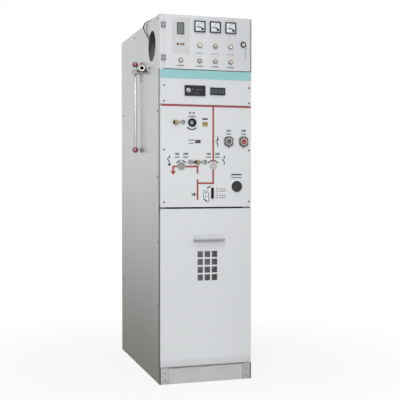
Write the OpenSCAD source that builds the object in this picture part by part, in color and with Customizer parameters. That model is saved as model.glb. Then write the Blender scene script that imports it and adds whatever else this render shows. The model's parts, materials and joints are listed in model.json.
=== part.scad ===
// Ring main unit cubicle: a sheet steel switchgear cabinet that stands on the floor.
// Front is -Y, back is +Y, up is +Z. The origin is the middle of the base, on the floor.
// All sizes are in millimetres.

/* [Cabinet] */
// Overall width over the side sheets
cab_w = 500; // [420:5:600]
// Overall depth, front panels included
cab_d = 960; // [800:10:1100]
// Thickness of the sheet metal
sheet = 2; // [1.5:0.25:2.5]
// Outside radius of the bends in the front panels
bend_r = 3.5; // [3:0.25:6]
// Width of the front leg of a corner post
post_w = 43; // [36:1:52]
// Length of the side leg of a corner post
post_d = 22; // [18:1:40]
// Height of the lips round the instrument compartment
lip_h = 16; // [10:1:24]
// Joint between the two rear sheets
rear_joint = 2; // [1:0.5:4]
// Height of the cable partition above the mechanism panel bottom
part_rise = 12; // [6:1:30]

/* [Base] */
// Thickness of the base steel
base_t = 3; // [2:0.5:5]
// Cabinet side to the floor bolts
foot_in = 50; // [40:1:80]
// Cabinet front or back to the floor bolts
foot_back = 60; // [50:1:90]
// Diameter of a floor bolt hole
foot_hole = 14; // [11:0.5:18]
// Floor bolt to the inner edge of its flange
foot_edge = 30; // [20:1:40]
// Width of the foot of a side rail
rail_w = 45; // [30:1:60]
// Length of the cable entry between the floor plates
entry_l = 240; // [160:10:360]
// Gap between a floor plate and the base steel
plate_gap = 1; // [0.5:0.25:2]

/* [Front heights] */
// Height of the base under the cable cover
plinth_h = 87; // [60:1:120]
// Height of the lift-off cable cover
cover_h = 818; // [760:2:900]
// Open gap between the cable cover and the mechanism panel
cover_gap = 9; // [7:1:16]
// Height of the mechanism panel
mech_h = 527; // [440:1:580]
// Joint between the mechanism panel and the instrument panel
panel_joint = 2; // [1:0.5:4]
// Height of the instrument panel with its name strip
inst_h = 176; // [168:1:220]
// Gap under the instrument door
door_gap = 5; // [5:0.5:9]
// Height of the instrument door
door_h = 275; // [268:1:330]
// Height of the side sheets above the door top
door_under = 1; // [0.5:0.25:3]

/* [Front layout] */
// Depth of the folded front panels
front_d = 22; // [20:1:30]
// Step from the side sheet to a front panel
front_side = 3; // [2:0.5:6]
// Distance of the base front behind the panel faces
plinth_set = 6; // [3:0.5:10]
// Depth of the instrument compartment
lv_d = 420; // [340:10:520]
// Diameter of the wiring port in each side
port_d = 160; // [120:2:170]
// Height of the port centre under the roof
port_drop = 141; // [125:1:150]
// Distance of the port centre behind the panel faces
port_back = 165; // [150:1:200]

/* [Instrument door] */
// Width of the hinge stile left of the door
stile_w = 19; // [17:0.5:26]
// Gap between the hinge stile and the door
hinge_gap = 2; // [1.5:0.25:3]
// Gap between the door and the right side sheet
latch_gap = 6; // [5.5:0.25:10]
// Depth of the folded door
door_d = 17; // [12:1:18]
// Height of one hinge
hinge_h = 32; // [26:1:44]
// Width of one hinge leaf
leaf_w = 13; // [10:0.5:16]
// Thickness of a hinge leaf
leaf_t = 2.5; // [2:0.25:3.5]
// Outside diameter of the hinge knuckles
knuckle_d = 10; // [8:0.5:11]
// Length of the middle knuckle
knuckle_h = 13.4; // [9:0.2:16]
// Gap between the knuckles and the door face
knuckle_out = 1; // [0.5:0.25:2]
// Diameter of the hinge pin
pin_d = 4; // [3:0.25:5]
// Distance of each hinge centre from the nearer door end
hinge_in = 54; // [40:1:70]

/* [Door meters] */
// Width and height of a panel meter
meter_w = 58; // [48:1:66]
// How far a meter stands out of the door
meter_out = 9; // [7:0.5:14]
// Width of the meter rim
meter_rim = 5; // [3:0.5:6]
// Depth of the dial back behind the rim
dial_sink = 5.4; // [4:0.2:6]
// Thickness of a dial
dial_t = 1; // [0.6:0.1:2]
// Step from the meter case in to its drum
drum_in = 3; // [2:0.5:6]
// Length of the drum behind the door face
drum_l = 38; // [24:1:60]
// Distance between neighbouring meters
meter_pitch = 84; // [76:1:90]
// Right door edge to the last meter centre
meter_in = 111; // [106:1:130]
// Door top to the meter centres
meter_drop = 54; // [42:1:60]

/* [Door lamps] */
// Outside diameter of a lamp
lamp_d = 26; // [22:0.5:32]
// How far a lamp ring stands out
lamp_out = 6; // [4:0.5:8]
// Edge bevel of a lamp ring
lamp_edge = 2; // [0.5:0.25:2.5]
// Diameter of a lamp lens
lens_d = 20; // [16:0.5:20]
// How far a lens stands out
lens_out = 10.5; // [8:0.25:14]
// Height of the rounded top of a lens
lens_dome = 3.5; // [2:0.25:5]
// Height of the lens seat above the door face
lens_seat = 2; // [1:0.25:3]
// Wall of a lamp barrel
lamp_wall = 2; // [1.5:0.25:3]
// Length of a lamp barrel behind the door face
lamp_back = 30; // [20:1:50]
// Door top to the upper lamp row
lamp_drop = 152; // [135:1:165]
// Door bottom to the lower lamp row
lamp_rise = 44; // [30:1:60]

/* [Door lock] */
// Diameter of the lock ring
lock_d = 31; // [28:0.5:36]
// How far the lock ring stands out
lock_out = 4; // [2:0.5:6]
// Diameter of the turning lock barrel
barrel_d = 18; // [14:0.5:20]
// How far the lock barrel stands out
barrel_out = 6.5; // [6:0.25:9]
// Wall of the bush that holds the barrel
bush_wall = 1.8; // [1.2:0.2:3]
// Bush end in front of the door back
bush_in = 4; // [3.5:0.25:6]
// Thickness of the barrel head behind the bush
head_t = 2.7; // [2:0.1:3]
// Width of the key slot
key_w = 2.4; // [1.5:0.1:4]
// Height of the key slot
key_h = 10; // [6:0.5:12]
// Depth of the key slot
key_deep = 5.5; // [3:0.5:8]
// Right door edge to the lock centre
lock_in = 40; // [36:1:50]
// Door top to the lock centre
lock_drop = 137; // [110:1:160]

/* [Door display] */
// Width of the display on the door
disp_w = 39; // [30:1:44]
// Height of the display on the door
disp_h = 62; // [40:1:80]
// How far the display stands out
disp_out = 3; // [2:0.5:6]
// Length of the display body behind the door face
disp_back = 20; // [12:1:40]
// Width of the display rim
disp_rim = 4; // [3:0.5:6]
// Depth of the screen behind the rim
disp_sink = 1.5; // [0.5:0.25:2]
// Display right of the middle between hinge and meters
disp_shift = 8.5; // [-4:0.5:10]
// Door top to the display centre
disp_drop = 69; // [60:1:90]

/* [Instrument panel] */
// Height of the coloured name strip
strip_height = 44; // [30:1:50]
// Thickness of the name strip
strip_t = 1.2; // [0.6:0.1:2]
// Distance of the name strip ends from the panel edges
strip_in = 2; // [1:0.5:6]
// Width of the fault indicator
fault_w = 111; // [90:1:120]
// Height of the fault indicator
fault_h = 54; // [40:1:60]
// Width of the voltage indicator
volt_w = 81; // [60:1:90]
// Height of the voltage indicator
volt_h = 39; // [28:1:54]
// Fault indicator centre left of the middle
fault_x = 62.5; // [60:0.5:75]
// Voltage indicator centre right of the middle
volt_x = 60.5; // [55:0.5:75]
// Height of both indicators above the panel bottom
device_rise = 71; // [60:1:80]
// How far an indicator stands out
device_out = 6; // [4:0.5:9]
// Length of an indicator body behind the panel face
device_back = 32; // [20:1:60]
// Width of an indicator flange
device_rim = 4; // [2:0.5:6]
// Voltage indicator edge to the display fields
field_rim = 6; // [4:0.5:8]
// Gap between the display fields
field_gap = 3.5; // [2:0.25:5]
// Height of a display field
field_h = 23; // [10:1:30]
// Depth of a display field
field_sink = 1.5; // [0.5:0.25:3]

/* [Test knob] */
// Diameter of the test knob
knob_d = 24; // [18:0.5:28]
// How far the test knob stands out of its indicator
knob_out = 8; // [6:0.5:12]
// Height of the skirt of the test knob
knob_skirt = 2; // [1:0.5:3]
// Step from the skirt to the grip
knob_step = 2; // [1:0.5:3]
// Edge bevel of the test knob
knob_edge = 1; // [0.5:0.25:1.5]
// Left indicator edge to the test knob
knob_in = 20; // [16:0.5:26]

/* [Mimic lines] */
// Width of the coloured mimic lines
mimic_w = 9; // [6:0.5:12]
// Thickness of the mimic strips
mimic_t = 1; // [0.6:0.1:2]
// Gap between a mimic line and a disc
mimic_gap = 1; // [0.5:0.25:3]
// Gap between the busbar line and the panel edges
bus_gap = 3; // [1:0.5:8]
// Feeder line right of the middle
feeder_x = 36.7; // [30:0.1:44]
// Branch line left of the middle
branch_x = 48.5; // [44:0.1:54]
// Earth line under the disc centres
line_drop = 3; // [0:0.5:6]
// Joining line under the disc centres
join_drop = 89; // [80:1:110]
// Branch line above the joining line
join_up = 20; // [10:1:30]
// Branch line below the joining line
cable_drop = 87; // [60:1:100]
// Short line that hangs from the earth line
switch_drop = 36; // [24:1:44]
// Earth line left of its disc
earth_run = 26; // [16:1:34]
// Fall of the earth line to its arrow
earth_drop = 23; // [14:1:30]
// Width of the earth arrow
arrow_w = 30; // [20:1:36]
// Height of the earth arrow
arrow_h = 22; // [14:1:28]

/* [Switch discs and bolts] */
// Earth switch disc left of the middle
earth_x = 136; // [130:0.5:142]
// Height of the discs above the panel bottom
disc_rise = 212; // [204:1:222]
// Diameter of the earth switch disc
disc_d = 41; // [34:0.5:44]
// Diameter of the feeder switch disc
feeder_d = 39; // [34:0.5:44]
// Thickness of the discs
disc_t = 4; // [2:0.5:8]
// Edge bevel of the discs
disc_edge = 1; // [0.5:0.25:1.5]
// Width of the raised rim of the discs
disc_rim = 5; // [3:0.5:8]
// Depth of the disc faces under the rim
disc_sink = 0.8; // [0.4:0.1:1.2]
// Height of the selector bolt above the disc centres
select_rise = 19.5; // [19:0.5:26]
// Selector bolt travel to each side
select_run = 40; // [30:1:42]
// Charging row under the panel top
charge_drop = 91; // [80:1:100]
// Charging bolt left of the middle at rest
charge_x = 166; // [160:0.5:172]
// Charging bolt travel
charge_run = 39; // [30:1:40]
// Diameter of the round ends of the interlock slots
slot_end = 26; // [22:0.5:28]
// Width of the straight part of the interlock slots
slot_w = 15; // [13:0.5:18]
// Diameter of the brass bolt knobs
bolt_d = 25; // [20:0.5:27]
// How far the brass bolt knobs stand out
bolt_out = 14; // [10:0.5:20]
// Gap between a bolt knob and the panel
bolt_gap = 1; // [0.5:0.25:2]
// Edge rounding of the bolt knobs
bolt_edge = 3; // [1.5:0.5:4]
// Diameter of the brass bolt shanks
shank_d = 12; // [8:0.5:12]
// Width of the collar round a bolt shank
bolt_collar = 4; // [3:0.5:6]
// Thickness of the bolt collar
bolt_collar_t = 5; // [3:0.5:6]
// Distance of the slide plates behind the panel face
backing_in = 12; // [10:0.5:16]
// Slide plate edge round the slot
backing_edge = 10; // [6:0.5:12]
// Diameter of the slide plate studs
stud_d = 7; // [5:0.5:8]
// Slide plate edge to the studs
stud_in = 4; // [4:0.5:6]

/* [Charging socket] */
// Outside diameter of the charging socket
socket_d = 43; // [36:0.5:48]
// Bore of the charging socket
socket_bore = 24; // [22.5:0.5:26]
// Charging socket left of the middle
socket_x = 78; // [72:0.5:84]
// How far the charging socket stands out
socket_out = 8; // [5:0.5:12]
// Depth of the charging socket bore
socket_deep = 12; // [8:0.5:16]
// Length of the socket behind the panel face
socket_back = 26; // [20:1:40]
// Step from the socket flange to its body
socket_step = 3; // [2:0.5:5]
// Diameter of the charging shaft
shaft_d = 22; // [14:0.5:22]
// Charging shaft behind the socket
shaft_tail = 14; // [8:1:30]
// Diameter of the centre hole in the shaft
centre_d = 6; // [4:0.5:8]
// Depth of the centre hole in the shaft
centre_deep = 4; // [2:0.5:6]

/* [Flag and counter] */
// Charge flag left of the middle
flag_x = 8; // [2:0.5:14]
// Width of the charge flag
flag_w = 28; // [20:1:34]
// Height of the charge flag
flag_h = 24; // [16:1:30]
// Thickness of the charge flag
flag_t = 2.5; // [1.5:0.25:4]
// Charge flag under the charging row
flag_drop = 9; // [4:0.5:14]
// Counter left of the middle
count_x = 47; // [40:0.5:54]
// Width of the counter
count_w = 28; // [27:0.5:34]
// Height of the counter
count_h = 15; // [11:0.5:20]
// How far the counter stands out
count_out = 3; // [2:0.5:5]
// Counter above the middle between flag and selector bolt
count_shift = 9; // [0:0.5:14]
// Distance between the counter digits
digit_pitch = 5; // [4.2:0.1:5.2]
// Width of a counter digit field
digit_w = 3.6; // [3:0.1:4]
// Height of a counter digit field
digit_h = 8; // [6:0.5:9]
// Depth of a counter digit field
digit_sink = 1; // [0.5:0.25:1.5]

/* [Push buttons] */
// Button row under the panel top
button_drop = 186; // [178:1:200]
// Right panel edge to the open button
button_in = 43; // [38:0.5:50]
// Distance between the two buttons
button_pitch = 83; // [70:1:90]
// Diameter of a push button
button_d = 27; // [20:0.5:28]
// Clearance round a push button
button_gap = 1; // [0.5:0.25:2]
// Edge rounding of a push button
button_edge = 1.5; // [0.5:0.25:3]
// Button travel
button_run = 4; // [3:0.5:6]
// Width of the collar behind the panel
collar_w = 4; // [2:0.5:6]
// Thickness of the collar behind the panel
collar_t = 4; // [2:0.5:6]
// Width of a button guard
guard_w = 48; // [44:0.5:56]
// Thickness of a button guard
guard_t = 8; // [6:0.5:12]
// Corner cut of a button guard
guard_cut = 9; // [6:0.5:16]
// Diameter of the raised ring of a guard
ring_d = 35; // [33:0.5:40]
// Height of the raised ring of a guard
ring_out = 2; // [1:0.5:4]
// Guard middle to an ear
ear_x = 7; // [5:0.5:8]
// Width of an ear
ear_w = 5; // [3:0.5:7]
// Height of an ear
ear_h = 4; // [2:0.5:8]
// Step from the guard face down to an ear
ear_step = 2; // [1:0.5:4]
// Width of the tail tab
tab_w = 8; // [6:0.5:12]
// Height of the tail tab
tab_h = 8; // [4:0.5:12]
// Step from the guard face down to the tail tab
tab_step = 4; // [2:0.5:5]

/* [Cover latch] */
// Latch slot right of the middle
latch_x = 33; // [28:0.5:38]
// Height of the latch slot centre above the panel bottom
latch_rise = 71; // [66:1:84]
// Length of the latch slot
latch_len = 60; // [52:1:66]
// Width of the latch slot
latch_w = 16; // [14:0.5:20]
// Slot end to the latch knob at rest
latch_end = 10; // [8:0.5:14]
// Diameter of the latch knob
latch_pin = 12; // [8:0.5:12]
// How far the latch knob stands out
latch_out = 9; // [6:0.5:14]
// Width of the plate behind the latch knob
latch_plate_w = 16; // [12:0.5:18]
// Height of the plate behind the latch knob
latch_plate_h = 18; // [12:0.5:22]
// Thickness of the plate behind the latch knob
latch_plate_t = 4.7; // [3:0.1:6]
// Housing edge round the latch slot
latch_edge = 6; // [4:0.5:8]
// Depth of the latch housing behind the panel face
latch_deep = 20; // [16:1:26]

/* [Viewing window] */
// Diameter of the viewing window bezel
view_d = 66; // [56:1:74]
// Width of the bezel ring
view_ring = 6.5; // [5:0.5:9]
// How far the bezel stands out
view_out = 6; // [4:0.5:9]
// Edge rounding of the bezel
view_edge = 3; // [1.5:0.25:3.5]
// Thickness of the window pane
pane_t = 3; // [2:0.5:4]
// Width of the pane seat on the panel
pane_seat = 2; // [1:0.5:4]
// Viewing window right of the middle
view_x = 165; // [150:1:180]
// Height of the viewing window above the panel bottom
view_rise = 106; // [90:1:125]

/* [Cable cover] */
// Height of the slanting fold at the foot of the cover
foot_h = 38; // [24:1:50]
// Depth of the slanting fold
slant_in = 12; // [6:0.5:15]
// Length of the lifting handle along its foot
grip_w = 166; // [120:2:200]
// Height of the lifting handle
grip_h = 31; // [26:1:44]
// How far the lifting handle stands out
grip_out = 26; // [22:1:40]
// Height of the fold across the lifting handle
grip_fold = 12.4; // [8:0.2:16]
// Depth of the lifting handle at its top
grip_top = 4; // [3:0.5:8]
// Slant of each handle end
grip_slant = 10; // [4:0.5:16]
// Lifting handle right of the middle
grip_x = 12; // [-20:1:20]
// Cover bottom to the foot of the handle
grip_rise = 652; // [560:2:700]
// Width of one vent hole
vent_w = 30; // [20:0.5:34]
// Height of one vent hole
vent_h = 32; // [20:0.5:36]
// Distance between vent columns
vent_px = 38.8; // [36:0.2:46]
// Distance between vent rows
vent_pz = 40.4; // [38:0.2:48]
// Vent group right of the middle
vent_x = 5.2; // [-20:0.2:20]
// Cover bottom to the vent group centre
vent_rise = 520.5; // [440:1:540]
// Mesh edge round the vent holes
mesh_edge = 6; // [3:0.5:12]
// Thickness of the vent mesh
mesh_t = 1; // [0.6:0.1:2]

/* [Operating lever] */
// Diameter of the lever rod
rod_d = 14; // [10:0.5:18]
// Distance between the ball centres
rod_l = 478; // [420:2:520]
// Upper ball centre above the socket tube axis
ball_rise = 40; // [36:1:60]
// Diameter of a ball
ball_d = 35; // [28:0.5:40]
// Outside diameter of the socket tube
tube_d = 34; // [30:0.5:40]
// Bore of the socket tube
tube_bore = 20; // [14:0.5:24]
// Depth of the bore of the socket tube
tube_deep = 45; // [30:1:80]
// Length of the socket tube in front of the rod
tube_l = 170; // [140:1:200]
// Length of the socket tube behind the rod
tube_tail = 14; // [10:0.5:24]
// Lever rod axis out from the side sheet
lever_out = 22; // [21.5:0.5:30]
// Height of the socket tube axis
tube_z = 1662; // [1600:2:1700]
// Distance of the rod behind the panel faces
rod_back = 476; // [420:1:560]

/* [Lever bracket] */
// Length of the bracket along the socket tube
bracket_w = 95; // [70:1:110]
// Distance of the bracket in front of the rod
bracket_gap = 30; // [20:1:40]
// Height of the bracket plate
bracket_h = 65; // [50:1:90]
// Bracket plate below its shelf
bracket_drop = 45; // [30:1:60]
// Gap between the socket tube and the shelf lip
shelf_gap = 2; // [1:0.5:4]
// Height of the shelf lip
shelf_lip = 8; // [5:0.5:14]

/* [Wire] */
// Diameter of the control wire
wire_d = 6; // [5:0.25:7]
// Height of the wire ends above their sheets
wire_end = 1; // [0.5:0.25:3]
// Outside diameter of a wire gland
gland_d = 18; // [14:0.5:24]
// Height of a wire gland
gland_h = 9; // [6:0.5:14]
// Height of the nut of a wire gland
gland_nut = 4; // [3:0.5:6]
// Step from the nut in to the gland top
gland_step = 3; // [2:0.5:4]
// Cabinet side to the roof gland
gland_in = 55; // [40:1:80]
// Roof gland in front of the port centre
gland_fore = 5; // [0:1:20]
// Cabinet side to the floor gland
drop_in = 45; // [38:1:60]
// Floor gland behind the port centre
drop_back = 47; // [40:1:54]
// How far the wire runs back from the roof gland
loop_run = 157; // [140:1:170]
// Height of the wire arch above the roof
loop_rise = 24; // [18:1:32]
// Fall of the wire beside the roof edge
loop_drop = 71; // [60:1:74]
// Gap between the wire and the side sheet
loop_gap = 2; // [1:0.5:4]

/* [Hidden] */

// Running gap of a moving piece at its guide
run_gap = 0.3;
// Side clearance of a rod or barrel in its hole
rod_gap = 0.15;
// Side clearance of a fixed body in its cut-out
seat_gap = 0.5;
// Side clearance of a dial or lens in its rim
inlay_gap = 0.2;
// Side clearance of the wire in a sheet hole
wire_gap = 2;
// Side clearance of a hinge leaf round the knuckles
knuckle_gap = 0.4;
// Overlap that joins folded walls of one sheet
lap = 0.5;
// How far a cutting shape passes the face it cuts
cut = 1;

// Planes of the cabinet
hx = cab_w / 2;
ix = hx - sheet;
px = ix - sheet;
front_y = -cab_d / 2;
panel_back = front_y + sheet;
frame_y = front_y + front_d;
back_y = cab_d / 2;
toe_y = front_y + plinth_set;

// Heights of the front, from the floor up
cover_z = plinth_h;
cover_top = cover_z + cover_h;
mech_z = cover_top + cover_gap;
mech_top = mech_z + mech_h;
inst_z = mech_top + panel_joint;
inst_top = inst_z + inst_h;
door_z = inst_top + door_gap;
door_top = door_z + door_h;
cab_h = door_top + door_under;
roof_z = cab_h - sheet;

// Front panel and door widths
panel_w = cab_w - 2 * front_side;
panel_hx = panel_w / 2;
stile_x = -hx + stile_w;
door_x0 = stile_x + hinge_gap;
door_x1 = ix - latch_gap;
door_w = door_x1 - door_x0;
door_cx = (door_x0 + door_x1) / 2;

// Hinge axis, in front of the door face
pivot_x = (stile_x + door_x0) / 2;
pivot_y = front_y - knuckle_d / 2 - knuckle_out;
hinge_zs = [door_z + hinge_in, door_top - hinge_in];
mid_k = knuckle_h / 2;

// Door instruments
meter_zc = door_top - meter_drop;
meter_xs = [for (i = [2:-1:0]) door_x1 - meter_in - i * meter_pitch];
drum_d = meter_w - 2 * drum_in;
disp_x = (door_x0 + meter_xs[0] - meter_w / 2) / 2 + disp_shift;
disp_z = door_top - disp_drop;
lamp_z1 = door_top - lamp_drop;
lamp_z2 = door_z + lamp_rise;
lamps = concat(
  [for (x = meter_xs) [x, lamp_z1]],
  [for (x = concat([disp_x], meter_xs)) [x, lamp_z2]]
);
lock_x = door_x1 - lock_in;
lock_z = door_top - lock_drop;
bush_d = barrel_d + 2 * bush_wall;
bush_y = front_y + door_d - bush_in;

// Shape of a low dome: share of its radius, share of its height below the top
dome = [[1, 1], [0.9, 0.63], [0.7, 0.31], [0.4, 0.09], [0, 0]];

// Instrument panel devices
device_z = inst_z + device_rise;
knob_x = -fault_x - fault_w / 2 + knob_in;
field_w = (volt_w - 2 * field_rim - 3 * field_gap) / 4;

// Mechanism panel devices
charge_z = mech_top - charge_drop;
button_z = mech_top - button_drop;
open_x = panel_hx - button_in;
close_x = open_x - button_pitch;
disc_z = mech_z + disc_rise;
select_z = disc_z + select_rise;
flag_z = charge_z - flag_drop;
count_z = (flag_z - flag_h / 2 + select_z + bolt_d / 2) / 2 + count_shift;
latch_z = mech_z + latch_rise;
latch_rest = latch_z - latch_len / 2 + latch_end;
view_z = mech_z + view_rise;
pane_d = view_d - 2 * view_ring;
backing_y = front_y + backing_in;

// Mimic lines
bus_z = mech_top - mimic_w / 2;
line_z = disc_z - line_drop;
join_z = disc_z - join_drop;
earth_gap = disc_d / 2 + mimic_gap;
feeder_gap = feeder_d / 2 + mimic_gap;
earth_end = -earth_x - earth_gap - earth_run;

// Cable cover
vent_z = cover_z + vent_rise;
slant = atan2(slant_in, foot_h);

// Side port and instrument compartment
port_y = front_y + port_back;
port_z = cab_h - port_drop;
lv_back_y = front_y + lv_d;

// Floor bolts
foot_x = hx - foot_in;
foot_y = cab_d / 2 - foot_back;
flange_y = foot_y - foot_edge;

// Lever and its bracket
lever_x = -hx - lever_out;
lever_y = front_y + rod_back;
ball_zs = [tube_z + ball_rise - rod_l, tube_z + ball_rise];
shelf_z = tube_z - tube_d / 2 - run_gap;
shelf_x = -hx - lever_out - tube_d / 2 - shelf_gap;

// Wire glands: one on the roof, one on the instrument floor
gland_x = -hx + gland_in;
gland_y = port_y - gland_fore;
drop_x = -hx + drop_in;
drop_y = port_y + drop_back;
drop_z = inst_top + sheet;

// Course of the wire as shares of its lengths: over the roof, down the side, in the port
roof_run = [[0.055, 0.07, 0.96], [0.29, 0.23, 1], [0.58, 0.42, 0.67], [0.84, 0.61, 0.375], [1.02, 0.815, 0.27]];
side_run = [[0.42, 0.95, 0.03], [0.75, 1, 0.225], [0.42, 0.943, 0.48], [0.08, 0.79, 0.746], [0, 0.611, 1]];
port_run = [[0.02, 1.149, 0.5375], [0.267, 1.02, 0.3875], [0.578, 0.98, 0.1875],
            [0.82, 0.98, -0.1], [0.956, 1, -0.4875], [1, 1, -0.975]];
side_x = -hx - wire_d / 2 - loop_gap;
wire_pts = concat(
  [[gland_x, gland_y, cab_h + wire_end], [gland_x, gland_y, cab_h + gland_h + wire_d / 2]],
  [for (p = roof_run) [gland_x - p[0] * gland_in, gland_y + p[1] * loop_run, cab_h + p[2] * loop_rise]],
  [for (p = side_run) [side_x - p[0] * wire_d, gland_y + p[1] * loop_run, cab_h - p[2] * loop_drop]],
  [[side_x, port_y + 1.404 * drop_back, port_z + 0.675 * port_d / 2]],
  [for (p = port_run) [-hx + p[0] * drop_in, port_y + p[1] * drop_back, port_z + p[2] * port_d / 2]],
  [[drop_x, drop_y, drop_z + 2.5 * gland_h], [drop_x, drop_y, drop_z + wire_end]]
);
wire_n = len(wire_pts);
wire_sides = 10;
wire_steps = 3;

// Smooth curve through the points of the wire
function pt(i) = wire_pts[min(max(i, 0), wire_n - 1)];
function spline(i, t) =
  0.5 * (2 * pt(i) + (pt(i + 1) - pt(i - 1)) * t
    + (2 * pt(i - 1) - 5 * pt(i) + 4 * pt(i + 1) - pt(i + 2)) * t * t
    + (3 * pt(i) - pt(i - 1) - 3 * pt(i + 1) + pt(i + 2)) * t * t * t);
function unit(v) = v / norm(v);

wire_line = concat(
  [for (i = [0:wire_n - 2], k = [0:wire_steps - 1]) spline(i, k / wire_steps)],
  [pt(wire_n - 1)]
);
wire_m = len(wire_line);

// Rings of points round the wire; the fixed direction is never along the wire
wire_side = [0.857, 0.515, 0];
function heading(i) = unit(wire_line[min(i + 1, wire_m - 1)] - wire_line[max(i - 1, 0)]);
function ring_u(i) = unit(cross(heading(i), wire_side));
function ring_v(i) = cross(heading(i), ring_u(i));

wire_verts = [
  for (i = [0:wire_m - 1], k = [0:wire_sides - 1])
    wire_line[i] + wire_d / 2 * (cos(360 * k / wire_sides) * ring_u(i)
      + sin(360 * k / wire_sides) * ring_v(i))
];
wire_faces = concat(
  [for (i = [0:wire_m - 2], k = [0:wire_sides - 1])
    [i * wire_sides + k, (i + 1) * wire_sides + k, i * wire_sides + (k + 1) % wire_sides]],
  [for (i = [0:wire_m - 2], k = [0:wire_sides - 1])
    [(i + 1) * wire_sides + k, (i + 1) * wire_sides + (k + 1) % wire_sides,
     i * wire_sides + (k + 1) % wire_sides]],
  [[for (k = [0:wire_sides - 1]) k]],
  [[for (k = [wire_sides - 1:-1:0]) (wire_m - 1) * wire_sides + k]]
);

module block(x0, x1, y0, y1, z0, z1) {
  translate([x0, y0, z0])
    cube([x1 - x0, y1 - y0, z1 - z0]);
}

module along_y(x, z, y0, y1, d, n = 48) {
  translate([x, y0, z])
    rotate([-90, 0, 0])
      cylinder(h = y1 - y0, d = d, $fn = n);
}

module along_x(y, z, x0, x1, d, n = 48) {
  translate([x0, y, z])
    rotate([0, 90, 0])
      cylinder(h = x1 - x0, d = d, $fn = n);
}

module along_z(x, y, z0, z1, d, n = 48) {
  translate([x, y, z0])
    cylinder(h = z1 - z0, d = d, $fn = n);
}

// Turned piece that stands out of a front face, from its half outline
module turned(x, y, z, n = 48) {
  translate([x, y, z])
    rotate([90, 0, 0])
      rotate_extrude($fn = n)
        children();
}

// Repeats a piece on the other side of the middle plane
module both_sides() {
  children();
  mirror([1, 0, 0])
    children();
}

// Hole through a front sheet
module front_hole(x, z, d) {
  along_y(x, z, front_y - cut, panel_back + cut, d);
}

module front_window(x, z, w, h) {
  block(x - w / 2, x + w / 2, front_y - cut, panel_back + cut, z - h / 2, z + h / 2);
}

// Outline of a folded front, round at its two front bends
module bent_outline(w, d, r) {
  translate([-w / 2, r])
    square([w, d - r]);
  translate([-w / 2 + r, 0])
    square([w - 2 * r, d]);
  for (s = [-1, 1])
    translate([s * (w / 2 - r), r])
      circle(r = r, $fn = 32);
}

// Folded sheet front: face, two bent sides, top and bottom returns
module tray(w, h, d) {
  linear_extrude(h)
    difference() {
      bent_outline(w, d, bend_r);
      translate([0, sheet])
        bent_outline(w - 2 * sheet, d, bend_r - sheet);
    }
  for (z = [0, h - sheet])
    translate([-w / 2 + sheet - lap, sheet - lap, z])
      cube([w - 2 * sheet + 2 * lap, d - sheet + lap, sheet]);
}

// Dog-bone hole through a front sheet
module dog_bone(x0, x1, z) {
  for (x = [x0, x1])
    front_hole(x, z, slot_end);
  front_window((x0 + x1) / 2, z, x1 - x0, slot_w);
}

// Side sheet with its step at the front and the wiring port
module side_sheet() {
  difference() {
    union() {
      block(-hx, -ix, frame_y, back_y, 0, cab_h);
      block(-hx, -ix, front_y, frame_y + lap, inst_top, cab_h);
      block(-hx, -ix, toe_y, frame_y + lap, 0, plinth_h - sheet);
    }
    along_x(port_y, port_z, -hx - cut, -ix + cut, port_d, 96);
  }
}

module left_side_panel() {
  color([0.72, 0.73, 0.74])
    side_sheet();
}

module right_side_panel() {
  color([0.72, 0.73, 0.74])
    mirror([1, 0, 0])
      side_sheet();
}

// Two screwed rear sheets with a narrow joint
module rear_covers() {
  j = rear_joint / 2;
  color([0.70, 0.71, 0.72]) {
    block(-ix, ix, back_y - sheet, back_y, plinth_h, mech_z - j);
    block(-ix, ix, back_y - sheet, back_y, mech_z + j, roof_z);
  }
}

// Roof sheet with a lip over the instrument door
module roof_panel() {
  color([0.72, 0.73, 0.74])
    difference() {
      union() {
        block(-ix, ix, frame_y, back_y, roof_z, cab_h);
        block(-ix + post_w, ix - post_w, frame_y, frame_y + sheet, roof_z - lip_h, roof_z + lap);
      }
      along_z(gland_x, gland_y, roof_z - cut, cab_h + cut, wire_d + 2 * wire_gap);
    }
}

// Angle posts behind the front panels
module front_posts() {
  color([0.68, 0.69, 0.70])
    both_sides()
      difference() {
        block(-ix, -ix + post_w, frame_y, frame_y + post_d, plinth_h, roof_z);
        block(-px, ix, frame_y + sheet, frame_y + post_d + cut, plinth_h - cut, roof_z + cut);
      }
}

// Angle posts behind the rear sheets
module rear_posts() {
  y1 = back_y - sheet;
  color([0.68, 0.69, 0.70])
    both_sides()
      difference() {
        block(-ix, -ix + post_w, y1 - post_d, y1, plinth_h, roof_z);
        block(-px, ix, y1 - post_d - cut, y1 - sheet, plinth_h - cut, roof_z + cut);
      }
}

// Corner plates of the base, riveted over the ends of the kick plate
module plinth_corners() {
  color([0.66, 0.67, 0.68])
    both_sides()
      block(-ix, -ix + post_w, toe_y, toe_y + sheet, 0, plinth_h - sheet);
}

// Folded channel across the front of the base
module kick_plate() {
  y0 = toe_y + sheet;
  color([0.66, 0.67, 0.68])
    difference() {
      union() {
        block(-ix, ix, y0, y0 + base_t, 0, plinth_h);
        block(-ix, ix, y0, frame_y + post_d, plinth_h - base_t, plinth_h);
        block(-ix, ix, y0, -flange_y, 0, base_t);
      }
      for (x = [-foot_x, foot_x])
        along_z(x, -foot_y, -cut, base_t + cut, foot_hole);
    }
}

// Folded channel across the back of the base
module rear_base_rail() {
  color([0.66, 0.67, 0.68])
    difference() {
      union() {
        block(-ix, ix, back_y - base_t, back_y, 0, plinth_h);
        block(-ix, ix, back_y - sheet - post_d, back_y, plinth_h - base_t, plinth_h);
        block(-ix, ix, flange_y, back_y, 0, base_t);
      }
      for (x = [-foot_x, foot_x])
        along_z(x, foot_y, -cut, base_t + cut, foot_hole);
    }
}

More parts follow.
